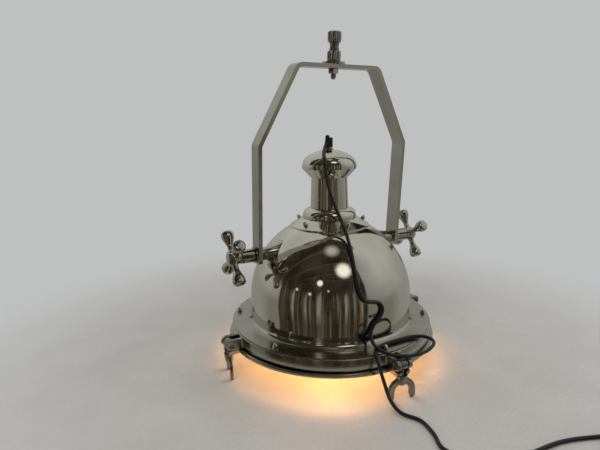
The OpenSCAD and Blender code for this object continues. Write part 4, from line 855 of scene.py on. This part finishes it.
def make_bulb():
    low, high = box("bulb")
    r = 30.0
    centre = low[2] + r
    neck = smooth([(r * math.cos(math.pi / 6), 0, centre + r / 2), (22.98, 0, centre + 19.28), (17.2, 0, centre + 29),
                   (13.9, 0, centre + 39), (13.2, 0, high[2])], 6)
    outline = [(0, low[2])] + arc(0, centre, r, -86, 30, 36)[:-1] + [(p[0], p[2]) for p in neck] + [
        (12.8, high[2] + 0.3), (0, high[2] + 0.3)]
    bulb = piece("frosted_bulb", [lathe(outline, 96)], "lamp", "bulb_glass", sharp=60)
    bulb.visible_shadow = False
    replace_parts(bulb, "bulb")

    low, high = box("bulb_cap")
    shell = threaded(12.3, 13.2, low[2], low[2] + 18.5, 3.6, 64, lambda z: 13.2 if z > low[2] + 1 else 12.6)
    tip = lathe(eased([(0, low[2] + 17), (12.6, low[2] + 17), (12.4, low[2] + 19.5, 1.0), (8.5, low[2] + 21.5, 1.0),
                       (5.0, low[2] + 22, 0.4), (4.4, high[2] - 0.2, 0.8), (0, high[2])], False), 64)
    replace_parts(piece("threaded_cap", [shell, tip], "lamp", "bulb_cap_metal", sharp=50), "bulb_cap")

    low, high = box("lamp_holder")
    outline = eased([(13.6, low[2], 0.8), (21, low[2], 1.6), (21, low[2] + 13, 0.8), (20, low[2] + 14.2, 0.8),
                     (20, low[2] + 17, 0.8), (21, low[2] + 18.2, 0.8), (21, high[2] - 13, 3.0), (12.6, high[2] - 1.5, 2.0),
                     (11, high[2], 0.8), (5.2, high[2], 0.4), (5.2, low[2] + 28), (13.6, low[2] + 26)])
    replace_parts(piece("porcelain_holder", [lathe(outline, 96)], "lamp", "holder_ceramic"), "lamp_holder")


make_acorns()
make_hanger()
make_seal()
make_bulb()

# The frame's own nodes
SLOTS = {row["node"]: row["material_slot"] for row in frame["record"]["subparts"]}
OWN_FINISH = {"bezel": "plated_bezel", "yoke": "yoke_strip"}
EDGES = {"yoke": 1.8, "hanger_washer": 0.6, "clamp_washer_left": 0.5, "clamp_washer_right": 0.5,
         "gland": 0.4, "flange_washers": 0.2, "clevis_pins": 0.4}
for name, obj in NODES.items():
    obj.data.materials.clear()
    obj.data.materials.append(MATERIALS[OWN_FINISH.get(name, SLOTS[name])])
    if name in EDGES:
        bevel = obj.modifiers.new("edges", "BEVEL")
        bevel.width = EDGES[name] * MM
        bevel.segments = 3
        bevel.limit_method = "ANGLE"
        bevel.angle_limit = math.radians(40)
        bevel.harden_normals = True

# Floor, world and light
BACKDROP = (0.52, 0.53, 0.525)
ROOM_DARK, ROOM_LIGHT, LOW_WALL = (0.016, 0.0135, 0.010), (0.046, 0.038, 0.028), (0.21, 0.20, 0.175)
TO_CAMERA, TO_LEFT = (-0.5, -0.866, 0.0), (-0.866, 0.5, 0.0)
# Soft lights of the room: turn and rise in degrees, radius, soft edge and tone
ROOM_LIGHTS = [(-27, 47, 9, 4, 1.25), (15, 31, 3.6, 1.2, 1.2), (28, 15, 1.8, 0.8, 0.9), (48, 17, 1.6, 0.8, 0.8),
               (2, 21, 1.3, 0.8, 0.8), (-12, 78, 7, 5, 0.5)]


def make_floor():
    """A plain pale floor that runs out into the background's tone."""
    g = Graph(bpy.data.materials.new("floor"))
    fine = g.noise(160, 4)
    tone = g.mix(g.span(g.noise(7, 5, 0.8), 0.3, 0.7), (0.38, 0.365, 0.345), (0.43, 0.415, 0.395))
    tone = g.mix(g.span(fine, 0.35, 0.75, 0, 0.25), tone, (0.31, 0.295, 0.275))
    shader = g.add("BsdfPrincipled", {"Base Color": tone, "Roughness": g.span(fine, 0.3, 0.7, 0.45, 0.6),
                                      "Normal": g.bump(fine, 0.0002)})
    path = g.add("LightPath").outputs
    shown = g.math("MAXIMUM", path["Is Camera Ray"], path["Is Transmission Ray"])
    far = g.blend(shown, g.add("BsdfTransparent"), g.add("Emission", {"Color": filled(BACKDROP), "Strength": 1.0}))
    distance = g.from_axis()[0]
    runs_out = g.span(distance, 0.33, 0.9, smooth=True)
    ends = g.math("MULTIPLY", path["Is Glossy Ray"], g.span(distance, 0.25, 0.31, smooth=True))
    g.finish(g.blend(g.math("MAXIMUM", runs_out, ends), shader, far))
    sides, radii = 96, (0.5, 1.0, 2.0, 6.0)
    angle = 2 * math.pi * np.arange(sides) / sides
    rings = [np.column_stack([r * np.cos(angle), r * np.sin(angle), 0 * angle]) for r in radii]
    points, faces = bridge(rings, "open")
    mesh = bpy.data.meshes.new("floor")
    mesh.from_pydata(points.tolist(), [], faces + [tuple(range(sides))[::-1]])
    mesh.materials.append(g.owner)
    floor = bpy.data.objects.new("floor", mesh)
    bpy.context.scene.collection.objects.link(floor)


def make_world():
    """Plain pale surroundings. Polished metal also sees a dim room above and on the side that the lamp faces, with a
    few soft lights in it, between pale walls."""
    g = Graph(bpy.data.worlds.new("studio"))
    bpy.context.scene.world = g.owner
    way = g.add("TexCoord").outputs["Generated"]
    fore, left, up = g.dot(way, TO_CAMERA), g.dot(way, TO_LEFT), g.dot(way, (0, 0, 1))
    turn = g.math("MULTIPLY", g.math("ARCTAN2", left, fore), 180 / math.pi)
    rise = g.math("MULTIPLY", g.math("ARCSINE", up), 180 / math.pi)
    aside = g.math("ABSOLUTE", g.math("SUBTRACT", turn, 4.0))
    wider = g.math("MULTIPLY", g.span(rise, 24, 10, smooth=True), g.span(turn, 0, 20, 0.0, 14.0))
    wall = g.span(g.math("SUBTRACT", aside, wider), 54.5, 57.5, smooth=True)
    roof = g.math("ADD", g.math("MULTIPLY", left, -36.0), 46.0)
    roof = g.math("ADD", roof, g.span(fore, -0.02, -0.25, 0.0, 60.0, smooth=True))
    wall = g.math("MULTIPLY", wall, g.span(g.math("SUBTRACT", rise, roof), 1.5, -1.5, smooth=True))

    room = g.mix(g.span(g.noise(3.2, 3, 0.5, way), 0.35, 0.65), ROOM_DARK, ROOM_LIGHT)
    beams = g.math("DIVIDE", g.dot(way, (0.35, 0.94, 0.0)), g.math("MAXIMUM", up, 0.2))
    beams = g.math("ABSOLUTE", g.math("SUBTRACT", g.math("FRACT", g.math("MULTIPLY", beams, 2.4)), 0.5))
    beams = g.math("MULTIPLY", g.span(beams, 0.035, 0.012), g.span(rise, 22, 34))
    room = g.mix(g.math("MULTIPLY", beams, 0.55), room, (0.16, 0.15, 0.13))
    along = g.add("CombineXYZ", {0: turn, 1: g.math("MULTIPLY", rise, 0.02)}).outputs[0]
    tall = g.math("ADD", rise, g.math("MULTIPLY", g.noise(0.35, 1, 0.0, along), 26.0))
    broad = g.math("MULTIPLY", g.span(g.noise(0.11, 3, 0.0, along), 0.50, 0.60), g.span(tall, 34, 24, smooth=True))
    warm = g.math("MULTIPLY", g.span(g.noise(0.27, 2, 0.0, g.stretch((1, 1, 1), (0, 0, 0.7), along)), 0.55, 0.66),
                  g.span(tall, 30, 18, smooth=True))
    room = g.mix(g.math("MULTIPLY", warm, 0.8), room, (0.17, 0.12, 0.075))
    broad = g.math("MULTIPLY", broad, g.span(rise, -24, -8, 0.15, 0.65))
    room = g.mix(broad, room, (0.36, 0.36, 0.31))
    for at_turn, at_rise, radius, edge, tone in ROOM_LIGHTS:
        c, s = math.cos(math.radians(at_turn)), math.sin(math.radians(at_turn))
        flat = [math.cos(math.radians(at_rise)) * (c * f + s * l) for f, l in zip(TO_CAMERA, TO_LEFT)]
        near = g.math("MINIMUM", g.dot(way, (flat[0], flat[1], math.sin(math.radians(at_rise)))), 1.0)
        near = g.math("MULTIPLY", g.math("ARCCOSINE", near), 180 / math.pi)
        room = g.mix(g.span(near, radius + edge, radius - edge, smooth=True), room, (tone, tone * 0.97, tone * 0.9))

    shade = g.math("MULTIPLY", g.span(g.noise(1.3, 2, 0.3, way), 0.3, 0.7, 0.9, 1.04),
                   g.span(aside, 56, 95, 0.62, 0.93, smooth=True))
    shade = g.math("MULTIPLY", shade, g.span(rise, -4, 34, 0.72, 1.0, smooth=True))
    walls = g.add("VectorMath", {0: BACKDROP, "Scale": shade}, operation="SCALE").outputs[0]
    low_share = g.math("MULTIPLY", g.span(rise, 3, -9, smooth=True), g.span(fore, -0.35, 0.0, 0.35, 1.0))
    walls = g.mix(low_share, walls, LOW_WALL)
    path = g.add("LightPath").outputs
    plain = g.add("Background", {"Color": filled(BACKDROP), "Strength": 1.0})
    glossy = g.add("Background", {"Color": g.mix(wall, room, walls), "Strength": 1.0})
    ambient = g.add("Background", {"Color": (0.60, 0.61, 0.62, 1), "Strength": 1.0})
    shown = g.math("MAXIMUM", path["Is Camera Ray"], path["Is Transmission Ray"])
    g.finish(g.blend(shown, g.blend(path["Is Glossy Ray"], ambient, glossy), plain))


def soft_box(name, at, aim, size, power, colour=(1.0, 0.98, 0.95)):
    data = bpy.data.lights.new(name, "AREA")
    data.shape = "RECTANGLE"
    data.size, data.size_y = size
    data.energy = power
    data.color = colour
    light = bpy.data.objects.new(name, data)
    light.visible_glossy = False
    bpy.context.scene.collection.objects.link(light)
    light.location = at
    light.rotation_euler = (Vector(aim) - Vector(at)).to_track_quat("-Z", "Y").to_euler()


def bulb_light():
    data = bpy.data.lights.new("bulb_light", "POINT")
    data.energy = 3.0
    data.color = (1.0, 0.50, 0.19)
    data.shadow_soft_size = 0.028
    light = bpy.data.objects.new("bulb_light", data)
    light.location = (0, 0, 0.153)
    bpy.context.scene.collection.objects.link(light)


make_floor()
make_world()
soft_box("key", (-1.5, -0.9, 1.9), (0, 0, 0.25), (1.2, 0.9), 15)
soft_box("ceiling", (0.3, -0.3, 2.4), (0, 0, 0.2), (1.6, 0.8), 16)
soft_box("fill", (1.7, -0.9, 1.1), (0, 0, 0.25), (0.9, 0.9), 6)
bulb_light()
bpy.context.scene.view_settings.view_transform = "Standard"

bpy.context.view_layer.update()
